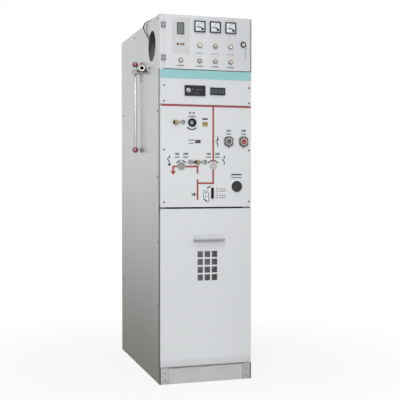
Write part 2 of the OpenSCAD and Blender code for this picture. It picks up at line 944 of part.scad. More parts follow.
// Angle rails between the front and rear channels
module side_base_rails() {
  color([0.66, 0.67, 0.68])
    both_sides() {
      block(-ix, -ix + base_t, -flange_y, flange_y, 0, plinth_h);
      block(-ix, -ix + rail_w, -flange_y, flange_y, 0, base_t);
    }
}

// Two floor plates that leave the cable entry open between them
module floor_plates() {
  x = ix - base_t - plate_gap;
  color([0.68, 0.69, 0.70]) {
    block(-x, x, -flange_y + plate_gap, -entry_l / 2, base_t, base_t + sheet);
    block(-x, x, entry_l / 2, flange_y - plate_gap, base_t, base_t + sheet);
  }
}

// Sheet between the cable space and the switch space
module cable_partition() {
  z = mech_z + part_rise;
  color([0.70, 0.71, 0.72])
    block(-px, px, frame_y + sheet, back_y - 2 * sheet, z, z + sheet);
}

// Floor of the instrument compartment with a raised front lip
module instrument_floor() {
  lip_x = ix - post_w;
  color([0.72, 0.73, 0.74])
    difference() {
      union() {
        block(-px, px, frame_y + sheet, lv_back_y, inst_top, drop_z);
        block(-lip_x, lip_x, frame_y, frame_y + sheet, inst_top, drop_z + lip_h);
        block(-lip_x, lip_x, frame_y, frame_y + 2 * sheet, inst_top, drop_z);
      }
      along_z(drop_x, drop_y, inst_top - cut, drop_z + cut, wire_d + 2 * wire_gap);
    }
}

module instrument_back() {
  color([0.72, 0.73, 0.74])
    block(-ix, ix, lv_back_y, lv_back_y + sheet, inst_top, roof_z);
}

// Folded stile that carries the hinges, level with the door face
module hinge_stile() {
  color([0.86, 0.86, 0.87]) {
    block(-ix, stile_x, front_y, panel_back, inst_top, cab_h);
    block(-ix, -px, panel_back - lap, frame_y, inst_top, cab_h);
  }
}

// Flat leaf on one side of the hinge axis, cut back where knuckles pass
module leaf_plate(s, zc, notch) {
  inner = knuckle_d / 2 + knuckle_gap;
  y1 = front_y - pivot_y;
  difference() {
    block(min(s * leaf_w, 0), max(s * leaf_w, 0), y1 - leaf_t, y1, zc - hinge_h / 2, zc + hinge_h / 2);
    for (k = notch)
      block(-inner, inner, -leaf_t - knuckle_d, knuckle_d + leaf_t, zc + k[0], zc + k[1]);
  }
}

// Frame leaves with the outer knuckles and the hinge pin
module hinge_frame_leaves() {
  h = hinge_h / 2;
  m = mid_k + run_gap;
  color([0.35, 0.36, 0.38])
    translate([pivot_x, pivot_y, 0])
      for (zc = hinge_zs) {
        leaf_plate(-1, zc, [[-m, m]]);
        for (k = [[-h, -m], [m, h]])
          along_z(0, 0, zc + k[0], zc + k[1], knuckle_d, 32);
        along_z(0, 0, zc - h, zc + h, pin_d, 32);
      }
}

// Door leaves with the middle knuckle
module hinge_door_leaves() {
  h = hinge_h / 2 + cut;
  color([0.35, 0.36, 0.38])
    translate([pivot_x, pivot_y, 0])
      for (zc = hinge_zs)
        difference() {
          union() {
            leaf_plate(1, zc, [[-h, -mid_k], [mid_k, h]]);
            along_z(0, 0, zc - mid_k, zc + mid_k, knuckle_d, 32);
          }
          along_z(0, 0, zc - h, zc + h, pin_d + 2 * rod_gap, 32);
        }
}

// Folded door with the cut-outs of its instruments
module instrument_door() {
  color([0.85, 0.86, 0.87])
    difference() {
      translate([door_cx, front_y, door_z])
        tray(door_w, door_h, door_d);
      for (x = meter_xs)
        front_hole(x, meter_zc, drum_d + 2 * seat_gap);
      for (p = lamps)
        front_hole(p[0], p[1], lens_d + 2 * seat_gap);
      front_hole(lock_x, lock_z, bush_d + 2 * inlay_gap);
      front_window(disp_x, disp_z, disp_w - 2 * disp_rim, disp_h - 2 * disp_rim);
    }
}

// Square meter bodies: rim, recess for the dial, round drum behind the door
module meter_cases() {
  y0 = front_y - meter_out;
  m = meter_w / 2;
  r = m - meter_rim;
  color([0.08, 0.08, 0.09])
    for (x = meter_xs)
      difference() {
        union() {
          block(x - m, x + m, y0, front_y, meter_zc - m, meter_zc + m);
          along_y(x, meter_zc, front_y - lap, front_y + drum_l, drum_d, 64);
        }
        block(x - r, x + r, y0 - cut, y0 + dial_sink, meter_zc - r, meter_zc + r);
      }
}

module meter_dials() {
  y1 = front_y - meter_out + dial_sink;
  r = meter_w / 2 - meter_rim - inlay_gap;
  color([0.95, 0.95, 0.93])
    for (x = meter_xs)
      block(x - r, x + r, y1 - dial_t, y1, meter_zc - r, meter_zc + r);
}

// Lamp bodies: bevelled ring on the door and a barrel behind it
module lamp_bezels() {
  r = lens_d / 2;
  q = lamp_d / 2;
  color([0.62, 0.63, 0.65])
    for (p = lamps)
      turned(p[0], front_y, p[1])
        polygon([
          [r - lamp_wall, lens_seat], [r - lamp_wall, -lamp_back], [r, -lamp_back],
          [r, 0], [q, 0], [q, lamp_out - lamp_edge],
          [q - lamp_edge, lamp_out], [r, lamp_out], [r, lens_seat]
        ]);
}

// Low domed lens in each lamp ring
module lamp_lenses() {
  r = lens_d / 2 - inlay_gap;
  color([0.93, 0.75, 0.35])
    for (p = lamps)
      turned(p[0], front_y, p[1])
        polygon(concat(
          [[0, lens_seat], [r, lens_seat]],
          [for (k = dome) [r * k[0], lens_out - lens_dome * k[1]]]
        ));
}

// Lock ring on the door face and its bush through the door
module lock_ring() {
  y0 = front_y - lock_out;
  color([0.10, 0.10, 0.11])
    difference() {
      union() {
        along_y(lock_x, lock_z, y0, front_y, lock_d, 64);
        along_y(lock_x, lock_z, front_y - lap, bush_y, bush_d);
      }
      along_y(lock_x, lock_z, y0 - cut, bush_y + cut, barrel_d + 2 * rod_gap);
    }
}

// Turning barrel with a key slot and a head behind the bush
module lock_barrel() {
  y0 = front_y - barrel_out;
  y1 = bush_y + run_gap;
  color([0.80, 0.81, 0.82])
    difference() {
      union() {
        along_y(lock_x, lock_z, y0, y1, barrel_d);
        along_y(lock_x, lock_z, y1, y1 + head_t, bush_d);
      }
      block(lock_x - key_w / 2, lock_x + key_w / 2, y0 - cut, y0 + key_deep,
            lock_z - key_h / 2, lock_z + key_h / 2);
    }
}

// Display: framed screen on the door and a body behind it
module door_display() {
  y0 = front_y - disp_out;
  w = disp_w / 2;
  h = disp_h / 2;
  e = disp_rim + seat_gap;
  color([0.42, 0.43, 0.45])
    difference() {
      union() {
        block(disp_x - w, disp_x + w, y0, front_y, disp_z - h, disp_z + h);
        block(disp_x - w + e, disp_x + w - e, front_y - lap, front_y + disp_back,
              disp_z - h + e, disp_z + h - e);
      }
      block(disp_x - w + disp_rim, disp_x + w - disp_rim, y0 - cut, y0 + disp_sink,
            disp_z - h + disp_rim, disp_z + h - disp_rim);
    }
}

// Fixed upper panel with the cut-outs of its two indicators
module instrument_panel() {
  e = 2 * (device_rim - seat_gap);
  color([0.85, 0.86, 0.87])
    difference() {
      translate([0, front_y, inst_z])
        tray(panel_w, inst_h, front_d);
      front_window(-fault_x, device_z, fault_w - e, fault_h - e);
      front_window(volt_x, device_z, volt_w - e, volt_h - e);
    }
}

// Flanged indicator body pushed through its cut-out
module device(x, w, h) {
  e = device_rim;
  block(x - w / 2, x + w / 2, front_y - device_out, front_y, device_z - h / 2, device_z + h / 2);
  block(x - w / 2 + e, x + w / 2 - e, front_y - lap, front_y + device_back,
        device_z - h / 2 + e, device_z + h / 2 - e);
}

module fault_indicator() {
  color([0.12, 0.12, 0.13])
    device(-fault_x, fault_w, fault_h);
}

// Test knob: skirt, step and tapered grip
module fault_knob() {
  r = knob_d / 2;
  q = r - knob_step;
  color([0.80, 0.81, 0.82])
    turned(knob_x, front_y - device_out, device_z)
      polygon([[0, 0], [r, 0], [r, knob_skirt], [q, knob_skirt + knob_edge],
               [q - knob_edge, knob_out - knob_edge], [q - 3 * knob_edge, knob_out], [0, knob_out]]);
}

// Indicator with a row of four sunk display fields
module voltage_indicator() {
  y0 = front_y - device_out;
  x0 = volt_x - volt_w / 2 + field_rim;
  color([0.12, 0.12, 0.13])
    difference() {
      device(volt_x, volt_w, volt_h);
      for (i = [0:3])
        translate([x0 + i * (field_w + field_gap), y0 - cut, device_z - field_h / 2])
          cube([field_w, field_sink + cut, field_h]);
    }
}

module name_strip() {
  x = panel_hx - strip_in;
  color([0.57, 0.77, 0.78])
    block(-x, x, front_y - strip_t, front_y, inst_top - strip_height, inst_top - seat_gap);
}

// Fixed middle panel with its slots, button holes and viewing hole
module mechanism_panel() {
  color([0.85, 0.86, 0.87])
    difference() {
      translate([0, front_y, mech_z])
        tray(panel_w, mech_h, front_d);
      dog_bone(-charge_x, -charge_x + charge_run, charge_z);
      dog_bone(-branch_x - select_run, -branch_x + select_run, select_z);
      front_hole(-socket_x, charge_z, socket_d - 2 * socket_step + 2 * seat_gap);
      for (x = [close_x, open_x])
        front_hole(x, button_z, button_d + 2 * button_gap);
      front_hole(view_x, view_z, pane_d - 2 * pane_seat);
      latch_hole();
    }
}

// Upright round-ended hole of the latch
module latch_hole() {
  run = latch_len - latch_w;
  for (s = [-1, 1])
    front_hole(latch_x, latch_z + s * run / 2, latch_w);
  front_window(latch_x, latch_z, latch_w, run);
}

// Upright and level strips of the mimic diagram
module strip_v(x, z0, z1) {
  block(x - mimic_w / 2, x + mimic_w / 2, front_y - mimic_t, front_y, z0, z1);
}

module strip_h(x0, x1, z) {
  block(x0, x1, front_y - mimic_t, front_y, z - mimic_w / 2, z + mimic_w / 2);
}

// Busbar, feeder with its switch, branch to the cable, earth line with its arrow
module mimic_lines() {
  h = mimic_w / 2;
  bus_x = panel_hx - bus_gap;
  color([0.67, 0.31, 0.31]) {
    strip_h(-bus_x, bus_x, bus_z);
    strip_v(feeder_x, disc_z + feeder_gap, bus_z);
    strip_v(feeder_x, join_z - h, disc_z - feeder_gap);
    strip_h(-branch_x, feeder_x, join_z);
    strip_v(-branch_x, join_z - cable_drop, join_z + join_up);
    strip_h(-earth_x + earth_gap, -branch_x + h, line_z);
    strip_v(-branch_x, line_z - switch_drop, line_z);
    strip_h(earth_end, -earth_x - earth_gap, line_z);
    strip_v(earth_end + h, line_z - earth_drop - lap, line_z);
    translate([earth_end + h, front_y, line_z - earth_drop])
      rotate([90, 0, 0])
        linear_extrude(mimic_t)
          polygon([[-arrow_w / 2, 0], [arrow_w / 2, 0], [0, -arrow_h]]);
  }
}

// Black socket for the charging crank, with a hole for the shaft behind its bore
module charging_socket() {
  y0 = front_y - socket_out;
  y1 = front_y + socket_back;
  color([0.10, 0.10, 0.11])
    difference() {
      union() {
        along_y(-socket_x, charge_z, y0, front_y, socket_d, 64);
        along_y(-socket_x, charge_z, front_y - lap, y1, socket_d - 2 * socket_step, 64);
      }
      along_y(-socket_x, charge_z, y0 - cut, y0 + socket_deep, socket_bore);
      along_y(-socket_x, charge_z, y0, y1 + cut, shaft_d + 2 * rod_gap);
    }
}

// Shaft end that closes the socket, with a centre hole
module charging_shaft() {
  y0 = front_y - socket_out + socket_deep;
  color([0.72, 0.73, 0.74])
    difference() {
      along_y(-socket_x, charge_z, y0, front_y + socket_back + shaft_tail, shaft_d);
      along_y(-socket_x, charge_z, y0 - cut, y0 + centre_deep, centre_d, 24);
    }
}

module charge_flag() {
  color([0.83, 0.68, 0.28])
    block(-flag_x - flag_w / 2, -flag_x + flag_w / 2, front_y - flag_t, front_y,
          flag_z - flag_h / 2, flag_z + flag_h / 2);
}

// Counter case with a row of sunk number fields
module operation_counter() {
  y0 = front_y - count_out;
  color([0.10, 0.10, 0.11])
    difference() {
      block(-count_x - count_w / 2, -count_x + count_w / 2, y0, front_y,
            count_z - count_h / 2, count_z + count_h / 2);
      for (i = [-2:2])
        translate([-count_x + i * digit_pitch - digit_w / 2, y0 - cut, count_z - digit_h / 2])
          cube([digit_w, digit_sink + cut, digit_h]);
    }
}

// Eight-sided guard with two ears, a tail tab and a raised ring
module button_guard(x) {
  w = guard_w / 2;
  c = guard_cut;
  y0 = front_y - guard_t;
  difference() {
    union() {
      translate([x, front_y, button_z])
        rotate([90, 0, 0])
          linear_extrude(guard_t)
            polygon([[-w + c, -w], [w - c, -w], [w, -w + c], [w, w - c],
                     [w - c, w], [-w + c, w], [-w, w - c], [-w, -w + c]]);
      for (s = [-1, 1])
        block(x + s * ear_x - ear_w / 2, x + s * ear_x + ear_w / 2, y0 + ear_step, front_y,
              button_z + w - lap, button_z + w + ear_h);
      block(x - tab_w / 2, x + tab_w / 2, y0 + tab_step, front_y,
            button_z - w - tab_h, button_z - w + lap);
      along_y(x, button_z, y0 - ring_out, front_y - lap, ring_d, 64);
    }
    along_y(x, button_z, y0 - ring_out - cut, front_y + cut, button_d + 2 * button_gap);
  }
}

module button_guards() {
  color([0.30, 0.31, 0.33]) {
    button_guard(close_x);
    button_guard(open_x);
  }
}

// Push button: rounded cap, shank, collar behind the panel
module push_button(x) {
  r = button_d / 2;
  top = guard_t + ring_out + button_run;
  back = -sheet - run_gap;
  turned(x, front_y, button_z)
    polygon([[0, back - collar_t], [r + collar_w, back - collar_t], [r + collar_w, back], [r, back],
             [r, top - button_edge], [r - button_edge, top], [0, top]]);
}

module close_button() {
  color([0.22, 0.24, 0.24])
    push_button(close_x);
}

module open_button() {
  color([0.75, 0.18, 0.20])
    push_button(open_x);
}

// Flat discs over the two switch shafts, with a raised rim
module shaft_discs() {
  color([0.62, 0.63, 0.62])
    for (p = [[-earth_x, disc_d / 2], [feeder_x, feeder_d / 2]])
      turned(p[0], front_y, disc_z, 64)
        polygon([[0, 0], [p[1], 0], [p[1], disc_t - disc_edge], [p[1] - disc_edge, disc_t],
                 [p[1] - disc_rim, disc_t], [p[1] - disc_rim - disc_sink, disc_t - disc_sink],
                 [0, disc_t - disc_sink]]);
}

// Slide plates behind the two interlock slots, on four studs each
module backing_plate(x0, x1, z) {
  e = slot_end / 2 + backing_edge;
  block(x0 - e, x1 + e, backing_y, backing_y + sheet, z - e, z + e);
  for (x = [x0 - e + stud_in, x1 + e - stud_in], s = [-1, 1])
    along_y(x, z + s * (e - stud_in), panel_back, backing_y + lap, stud_d, 24);
}

module interlock_backing() {
  color([0.60, 0.61, 0.62]) {
    backing_plate(-charge_x, -charge_x + charge_run, charge_z);
    backing_plate(-branch_x - select_run, -branch_x + select_run, select_z);
  }
}

// Brass interlock bolt: knob, shank, collar that slides on the backing plate
module brass_bolt(x, z) {
  r = bolt_d / 2;
  s = shank_d / 2;
  end = run_gap - backing_in;
  step = end + bolt_collar_t;
  color([0.72, 0.58, 0.32])
    turned(x, front_y, z)
      polygon([[0, end], [s + bolt_collar, end], [s + bolt_collar, step], [s, step],
               [s, bolt_gap], [r, bolt_gap], [r, bolt_out - bolt_edge],
               [r - bolt_edge / 3, bolt_out - bolt_edge / 3], [r - bolt_edge, bolt_out], [0, bolt_out]]);
}

module charging_bolt() {
  brass_bolt(-charge_x, charge_z);
}

module selector_bolt() {
  brass_bolt(-branch_x, select_z);
}

// Black box behind the latch slot
module latch_housing() {
  w = latch_w / 2 + latch_edge;
  h = latch_len / 2 + latch_edge;
  y1 = front_y + latch_deep;
  color([0.08, 0.08, 0.09])
    difference() {
      block(latch_x - w, latch_x + w, panel_back, y1, latch_z - h, latch_z + h);
      block(latch_x - w + sheet, latch_x + w - sheet, panel_back - cut, y1 - sheet,
            latch_z - h + sheet, latch_z + h - sheet);
    }
}

// Latch knob that slides up its slot, with a plate inside the housing
module cover_latch() {
  w = latch_plate_w / 2;
  h = latch_plate_h / 2;
  y1 = front_y + latch_deep - sheet - run_gap;
  color([0.18, 0.18, 0.19]) {
    along_y(latch_x, latch_rest, front_y - latch_out, y1, latch_pin, 32);
    block(latch_x - w, latch_x + w, y1 - latch_plate_t, y1, latch_rest - h, latch_rest + h);
  }
}

// Rounded ring round the viewing pane
module window_bezel() {
  r = view_d / 2;
  q = pane_d / 2;
  color([0.86, 0.87, 0.88])
    turned(view_x, front_y, view_z, 64)
      polygon([[q, 0], [r, 0], [r, view_out - view_edge], [r - view_edge / 3, view_out - view_edge / 3],
               [r - view_edge, view_out], [q, view_out]]);
}

module window_pane() {
  color([0.10, 0.10, 0.11])
    along_y(view_x, view_z, front_y - pane_t, front_y, pane_d, 64);
}

// Lift-off cover: face with a slanting foot, side walls, top return, bottom lip
module cable_cover() {
  x = panel_hx;
  knee = foot_h + sheet * tan(slant / 2);
  color([0.85, 0.86, 0.87])
    difference() {
      translate([-x, front_y, cover_z])
        rotate([90, 0, 90])
          linear_extrude(2 * x)
            polygon([[0, cover_h], [0, foot_h], [slant_in, 0], [front_d, 0], [front_d, cover_h]]);
      translate([-x + sheet, front_y, cover_z])
        rotate([90, 0, 90])
          linear_extrude(2 * x - 2 * sheet)
            polygon([[sheet, cover_h - sheet], [sheet, knee], [slant_in + sheet, sheet],
                     [front_d + cut, sheet], [front_d + cut, cover_h - sheet]]);
      for (i = [-1:1], k = [-1.5:1:1.5])
        front_window(vent_x + i * vent_px, vent_z + k * vent_pz, vent_w, vent_h);
    }
}

// Side outline of the lifting handle, then its outline from the front
module grip_side(t) {
  polygon([[t, -t], [t, grip_h - 2.5 * t], [-grip_top + t / 2, grip_h - 2.5 * t],
           [-grip_out + 2.25 * t, grip_fold - 0.75 * t], [-grip_out + t, -t]]);
}

module grip_front(t) {
  w = grip_w / 2 - 1.5 * t;
  polygon([[-w, -t], [w, -t], [w - grip_slant, grip_h], [-w + grip_slant, grip_h]]);
}

// Both outlines together, drawn in by a wall thickness
module grip_form(t) {
  intersection() {
    translate([-grip_w / 2, 0, 0])
      rotate([90, 0, 90])
        linear_extrude(grip_w)
          grip_side(t);
    translate([0, t, 0])
      rotate([90, 0, 0])
        linear_extrude(grip_out + 2 * t)
          grip_front(t);
  }
}

// Hooded handle of folded sheet, open below for the fingers
module cover_handle() {
  color([0.84, 0.85, 0.86])
    translate([grip_x, front_y, cover_z + grip_rise])
      difference() {
        grip_form(0);
        grip_form(sheet);
      }
}

// Close mesh behind the vent holes
module vent_mesh() {
  w = vent_px + vent_w / 2 + mesh_edge;
  h = 1.5 * vent_pz + vent_h / 2 + mesh_edge;
  color([0.25, 0.26, 0.27])
    block(vent_x - w, vent_x + w, panel_back, panel_back + mesh_t, vent_z - h, vent_z + h);
}

// Bracket on the left side: plate, shelf under the lever tube, turned-up lip
module lever_bracket() {
  y1 = lever_y - bracket_gap;
  y0 = y1 - bracket_w;
  z0 = shelf_z - bracket_drop;
  color([0.74, 0.75, 0.76]) {
    block(-hx - sheet, -hx, y0, y1, z0, z0 + bracket_h);
    block(shelf_x - sheet, -hx, y0, y1, shelf_z - sheet, shelf_z);
    block(shelf_x - sheet, shelf_x, y0, y1, shelf_z - sheet, shelf_z + shelf_lip);
  }
}

// Chrome rod of the lever, hollowed at its ends for the balls
module lever_rod() {
  color([0.82, 0.83, 0.84])
    difference() {
      along_z(lever_x, lever_y, ball_zs[0], ball_zs[1], rod_d);
      lever_ball_pair();
    }
}

// Level socket tube with a cross hole for the rod
module lever_tube() {
  y0 = lever_y - tube_l;
  color([0.82, 0.83, 0.84])
    difference() {
      along_y(lever_x, tube_z, y0, lever_y + tube_tail, tube_d, 64);
      along_y(lever_x, tube_z, y0 - cut, y0 + tube_deep, tube_bore);
      along_z(lever_x, lever_y, tube_z - tube_d, tube_z + tube_d, rod_d + 2 * rod_gap);
    }
}

module lever_ball_pair() {
  for (z = ball_zs)
    translate([lever_x, lever_y, z])
      sphere(d = ball_d, $fn = 64);
}

module lever_balls() {
  color([0.75, 0.12, 0.14])
    lever_ball_pair();
}

// Gland: nut with a stepped top round the wire
module gland(x, y, z) {
  r = wire_d / 2;
  q = gland_d / 2;
  translate([x, y, z])
    rotate_extrude($fn = 48)
      polygon([[r, 0], [q, 0], [q, gland_nut], [q - gland_step, gland_h], [r, gland_h]]);
}

module wire_glands() {
  color([0.10, 0.10, 0.10]) {
    gland(gland_x, gland_y, cab_h);
    gland(drop_x, drop_y, drop_z);
  }
}

// Wire from the roof gland over the roof edge, down the side and in through the port
module control_wire() {
  color([0.08, 0.08, 0.08])
    polyhedron(points = wire_verts, faces = wire_faces);
}

left_side_panel();
right_side_panel();
rear_covers();
roof_panel();
front_posts();
rear_posts();
plinth_corners();
kick_plate();
rear_base_rail();
side_base_rails();
floor_plates();
cable_partition();
instrument_floor();
instrument_back();
hinge_stile();
hinge_frame_leaves();
instrument_panel();
name_strip();
fault_indicator();
fault_knob();
voltage_indicator();
mechanism_panel();
mimic_lines();
charging_socket();
charging_shaft();
charge_flag();
operation_counter();
button_guards();
shaft_discs();
interlock_backing();
latch_housing();
window_bezel();
window_pane();
lever_bracket();
lever_rod();
lever_tube();
lever_balls();
wire_glands();
control_wire();
instrument_door();
hinge_door_leaves();
meter_cases();
meter_dials();
lamp_bezels();
lamp_lenses();
lock_ring();
lock_barrel();
door_display();
cable_cover();
cover_handle();
vent_mesh();
close_button();
open_button();
charging_bolt();
selector_bolt();
cover_latch();
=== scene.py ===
import json
from functools import partialmethod
from math import pi

import bmesh
import bpy
import numpy as np
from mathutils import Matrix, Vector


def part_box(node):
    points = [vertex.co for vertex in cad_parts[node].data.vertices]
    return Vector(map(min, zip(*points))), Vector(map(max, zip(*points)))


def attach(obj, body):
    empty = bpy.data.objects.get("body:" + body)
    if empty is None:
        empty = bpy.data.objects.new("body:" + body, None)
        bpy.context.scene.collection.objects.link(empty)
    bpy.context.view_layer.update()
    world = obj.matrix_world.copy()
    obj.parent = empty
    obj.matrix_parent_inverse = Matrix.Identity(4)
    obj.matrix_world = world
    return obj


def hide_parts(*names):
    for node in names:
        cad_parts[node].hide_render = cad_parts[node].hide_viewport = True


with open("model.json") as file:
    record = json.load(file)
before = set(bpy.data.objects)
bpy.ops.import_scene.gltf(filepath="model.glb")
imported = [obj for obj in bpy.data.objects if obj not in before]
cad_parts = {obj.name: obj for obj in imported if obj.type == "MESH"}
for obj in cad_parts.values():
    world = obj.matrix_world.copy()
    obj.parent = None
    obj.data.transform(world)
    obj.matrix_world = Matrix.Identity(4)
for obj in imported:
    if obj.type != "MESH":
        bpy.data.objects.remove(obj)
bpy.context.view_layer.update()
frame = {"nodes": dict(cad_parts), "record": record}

bl_info = {
    "name": "Ring main unit dressing",
    "version": (1, 0, 0),
    "blender": (4, 5, 0),
    "location": "View3D > Sidebar > Cubicle",
    "description": "Finishes, printed marks and small fittings of a ring main unit cubicle",
    "category": "Object",
}

MM = 0.001


def middle(node):
    """Middle of a CAD node's box, in metres."""
    low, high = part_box(node)
    return [(a + b) / 2 for a, b in zip(low, high)]


# Planes that the pieces stand on, read from the frame
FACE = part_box("instrument_door")[0][1]
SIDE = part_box("right_side_panel")[1][0]
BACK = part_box("rear_covers")[1][1]
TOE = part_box("plinth_corners")[0][1]
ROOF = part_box("roof_panel")[1][2]
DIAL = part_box("meter_dials")[0][1]
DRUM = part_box("meter_cases")[1][1]
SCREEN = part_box("fault_indicator")[0][1]
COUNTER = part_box("operation_counter")[0][1]
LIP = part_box("roof_panel")[0][1]
DOOR_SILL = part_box("instrument_panel")[1][2] + 0.001
COVER_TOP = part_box("cable_cover")[1][2]
# Sizes of the frame that its boxes do not tell, in metres
CORNER_END, CORNER_SEAM = 0.248, 0.205  # base corner plates: outer end and inner seam, from the middle
BASE_FRONT = -0.44  # the seams of the base show in front of this depth
FOLD_START = 0.2445  # where the front panels fold back, from the middle
DISC_SPLIT = -0.09  # a place between the two shaft discs
TUBE_BORE = 0.0104
WINDOW_SEAL = 0.0295
GUARD_RING = 0.0178
METER_STEP = 0.084
PIVOT_X, PIVOT_Z = 0.010, -0.004  # pivot of a meter's needle, from the middle of the meter
# Captions (x, z) at the two switches and the two buttons, for ON and OFF in turn, in millimetres
CAPTIONS = ((-158, 1171), (-112, 1171), (12, 1172), (60, 1172), (121, 1294), (204, 1295))
METERS = [middle("meter_cases")[0] + k * METER_STEP for k in (-1, 0, 1)]


def tone(red, green, blue):
    """Linear colour of a screen colour given as 0 to 255."""
    c = np.array([red, green, blue]) / 255
    return tuple(np.where(c <= 0.04045, c / 12.92, ((c + 0.055) / 1.055) ** 2.4))


def colour_prop(name, text, red, green, blue):
    """Colour setting with a screen colour as its default."""
    return bpy.props.FloatVectorProperty(
        name=name, description=text, subtype="COLOR", min=0.0, max=1.0, default=tone(red, green, blue))


def length_prop(name, text, millimetres):
    """Length setting with a default in millimetres."""
    return bpy.props.FloatProperty(
        name=name, description=text, unit="LENGTH", min=0.0, precision=5, default=millimetres * MM)


class CubicleColours(bpy.types.PropertyGroup):
    """Colours of the finishes."""
    front: colour_prop("Front enamel", "Coat of the door and front panels", 218, 220, 222)
    zinc: colour_prop("Zinc sheet", "Upper part of the sheets", 201, 202, 204)
    # Colour of the painted shade on the sheets near the floor
    zinc_foot: colour_prop("Zinc foot", "Sheets near the floor", 115, 113, 106)
    base: colour_prop("Base steel", "Base channels", 186, 186, 187)
    teal: colour_prop("Name strip", "Strip under the door", 143, 192, 194)
    mimic: colour_prop("Mimic lines", "Circuit diagram", 158, 74, 76)
    black: colour_prop("Black plastic", "Moulded meters, indicators and socket", 37, 38, 43)
    guard: colour_prop("Button guards", "Guards round the push buttons", 80, 82, 84)
    hinge: colour_prop("Hinges", "Door hinges", 158, 159, 162)
    brass: colour_prop("Brass", "Interlock bolts", 152, 140, 116)
    ball: colour_prop("Lever balls", "Balls of the operating lever", 118, 22, 34)
    cap_dark: colour_prop("Close button", "Dark push button", 84, 88, 88)
    cap_red: colour_prop("Open button", "Red push button", 152, 58, 56)
    flag: colour_prop("Charge flag", "Spring charge flag", 142, 122, 60)
    ink: colour_prop("Printed marks", "Symbols on the panels", 36, 37, 41)


class CubicleSizes(bpy.types.PropertyGroup):
    """Sizes of the small fittings."""
    screw: length_prop("Panel screw", "Diameter of a front screw head", 9.0)
    side_screw: length_prop("Sheet screw", "Diameter of a side sheet screw head", 11.0)
    rivet: length_prop("Rivet", "Diameter of a base rivet head", 10.0)
    wire: length_prop("Wire", "Diameter of the control wire", 6.0)
    ink: length_prop("Ink", "Thickness of a printed mark", 0.25)
    line: length_prop("Line", "Width of a printed symbol line", 5.0)
    letter: length_prop("Lettering", "Height of the switch lettering", 11.0)
    plate: length_prop("Legend plate", "Thickness of a legend plate", 0.5)
    seal: length_prop("Door seal", "Thickness of the door seal", 3.0)


class Flow:
    """A socket of a shader node. Operators on it add Math nodes."""

    def __init__(self, tree, socket):
        self.tree, self.socket = tree, socket

    def sum(self, operation, other, swap=False):
        """Math node of this value and another."""
        pair = (other, self) if swap else (self, other)
        return self.tree.node("ShaderNodeMath", {"operation": operation}, dict(enumerate(pair)))

    __add__ = __radd__ = partialmethod(sum, "ADD")
    __sub__ = partialmethod(sum, "SUBTRACT")
    __rsub__ = partialmethod(sum, "SUBTRACT", swap=True)
    __mul__ = __rmul__ = partialmethod(sum, "MULTIPLY")
    __truediv__ = partialmethod(sum, "DIVIDE")
    __rtruediv__ = partialmethod(sum, "DIVIDE", swap=True)
    __pow__ = partialmethod(sum, "POWER")
    __rpow__ = partialmethod(sum, "POWER", swap=True)
    __lt__ = partialmethod(sum, "LESS_THAN")
    __gt__ = partialmethod(sum, "GREATER_THAN")
    most = partialmethod(sum, "MAXIMUM")

    def sine(self, pitch):
        """Sine with that pitch in metres."""
        return (self * (2.0 * pi / pitch)).sum("SINE", 0.0)

    def out(self, name):
        """Another output of the same node."""
        return Flow(self.tree, self.socket.node.outputs[name])


class Nodes:
    """A shader node tree in the making."""

    def __init__(self, tree):
        self.tree = tree

    def node(self, kind, settings=None, sockets=None, out=0):
        """Any shader node: its settings first, then the values or links of its sockets."""
        made = self.tree.nodes.new(kind)
        for name, value in (settings or {}).items():
            setattr(made, name, value)
        for name, value in (sockets or {}).items():
            self.join(made.inputs[name], value)
        return Flow(self, made.outputs[out])

    def join(self, socket, value):
        """Gives a socket a link or a value."""
        if isinstance(value, Flow):
            self.tree.links.new(value.socket, socket)
        else:
            socket.default_value = value

    def shown(self):
        """1 for rays that show the background itself: camera, mirror and glass rays."""
        ray = self.node("ShaderNodeLightPath", out="Is Camera Ray")
        return ray.most(ray.out("Is Glossy Ray")).most(ray.out("Is Transmission Ray"))


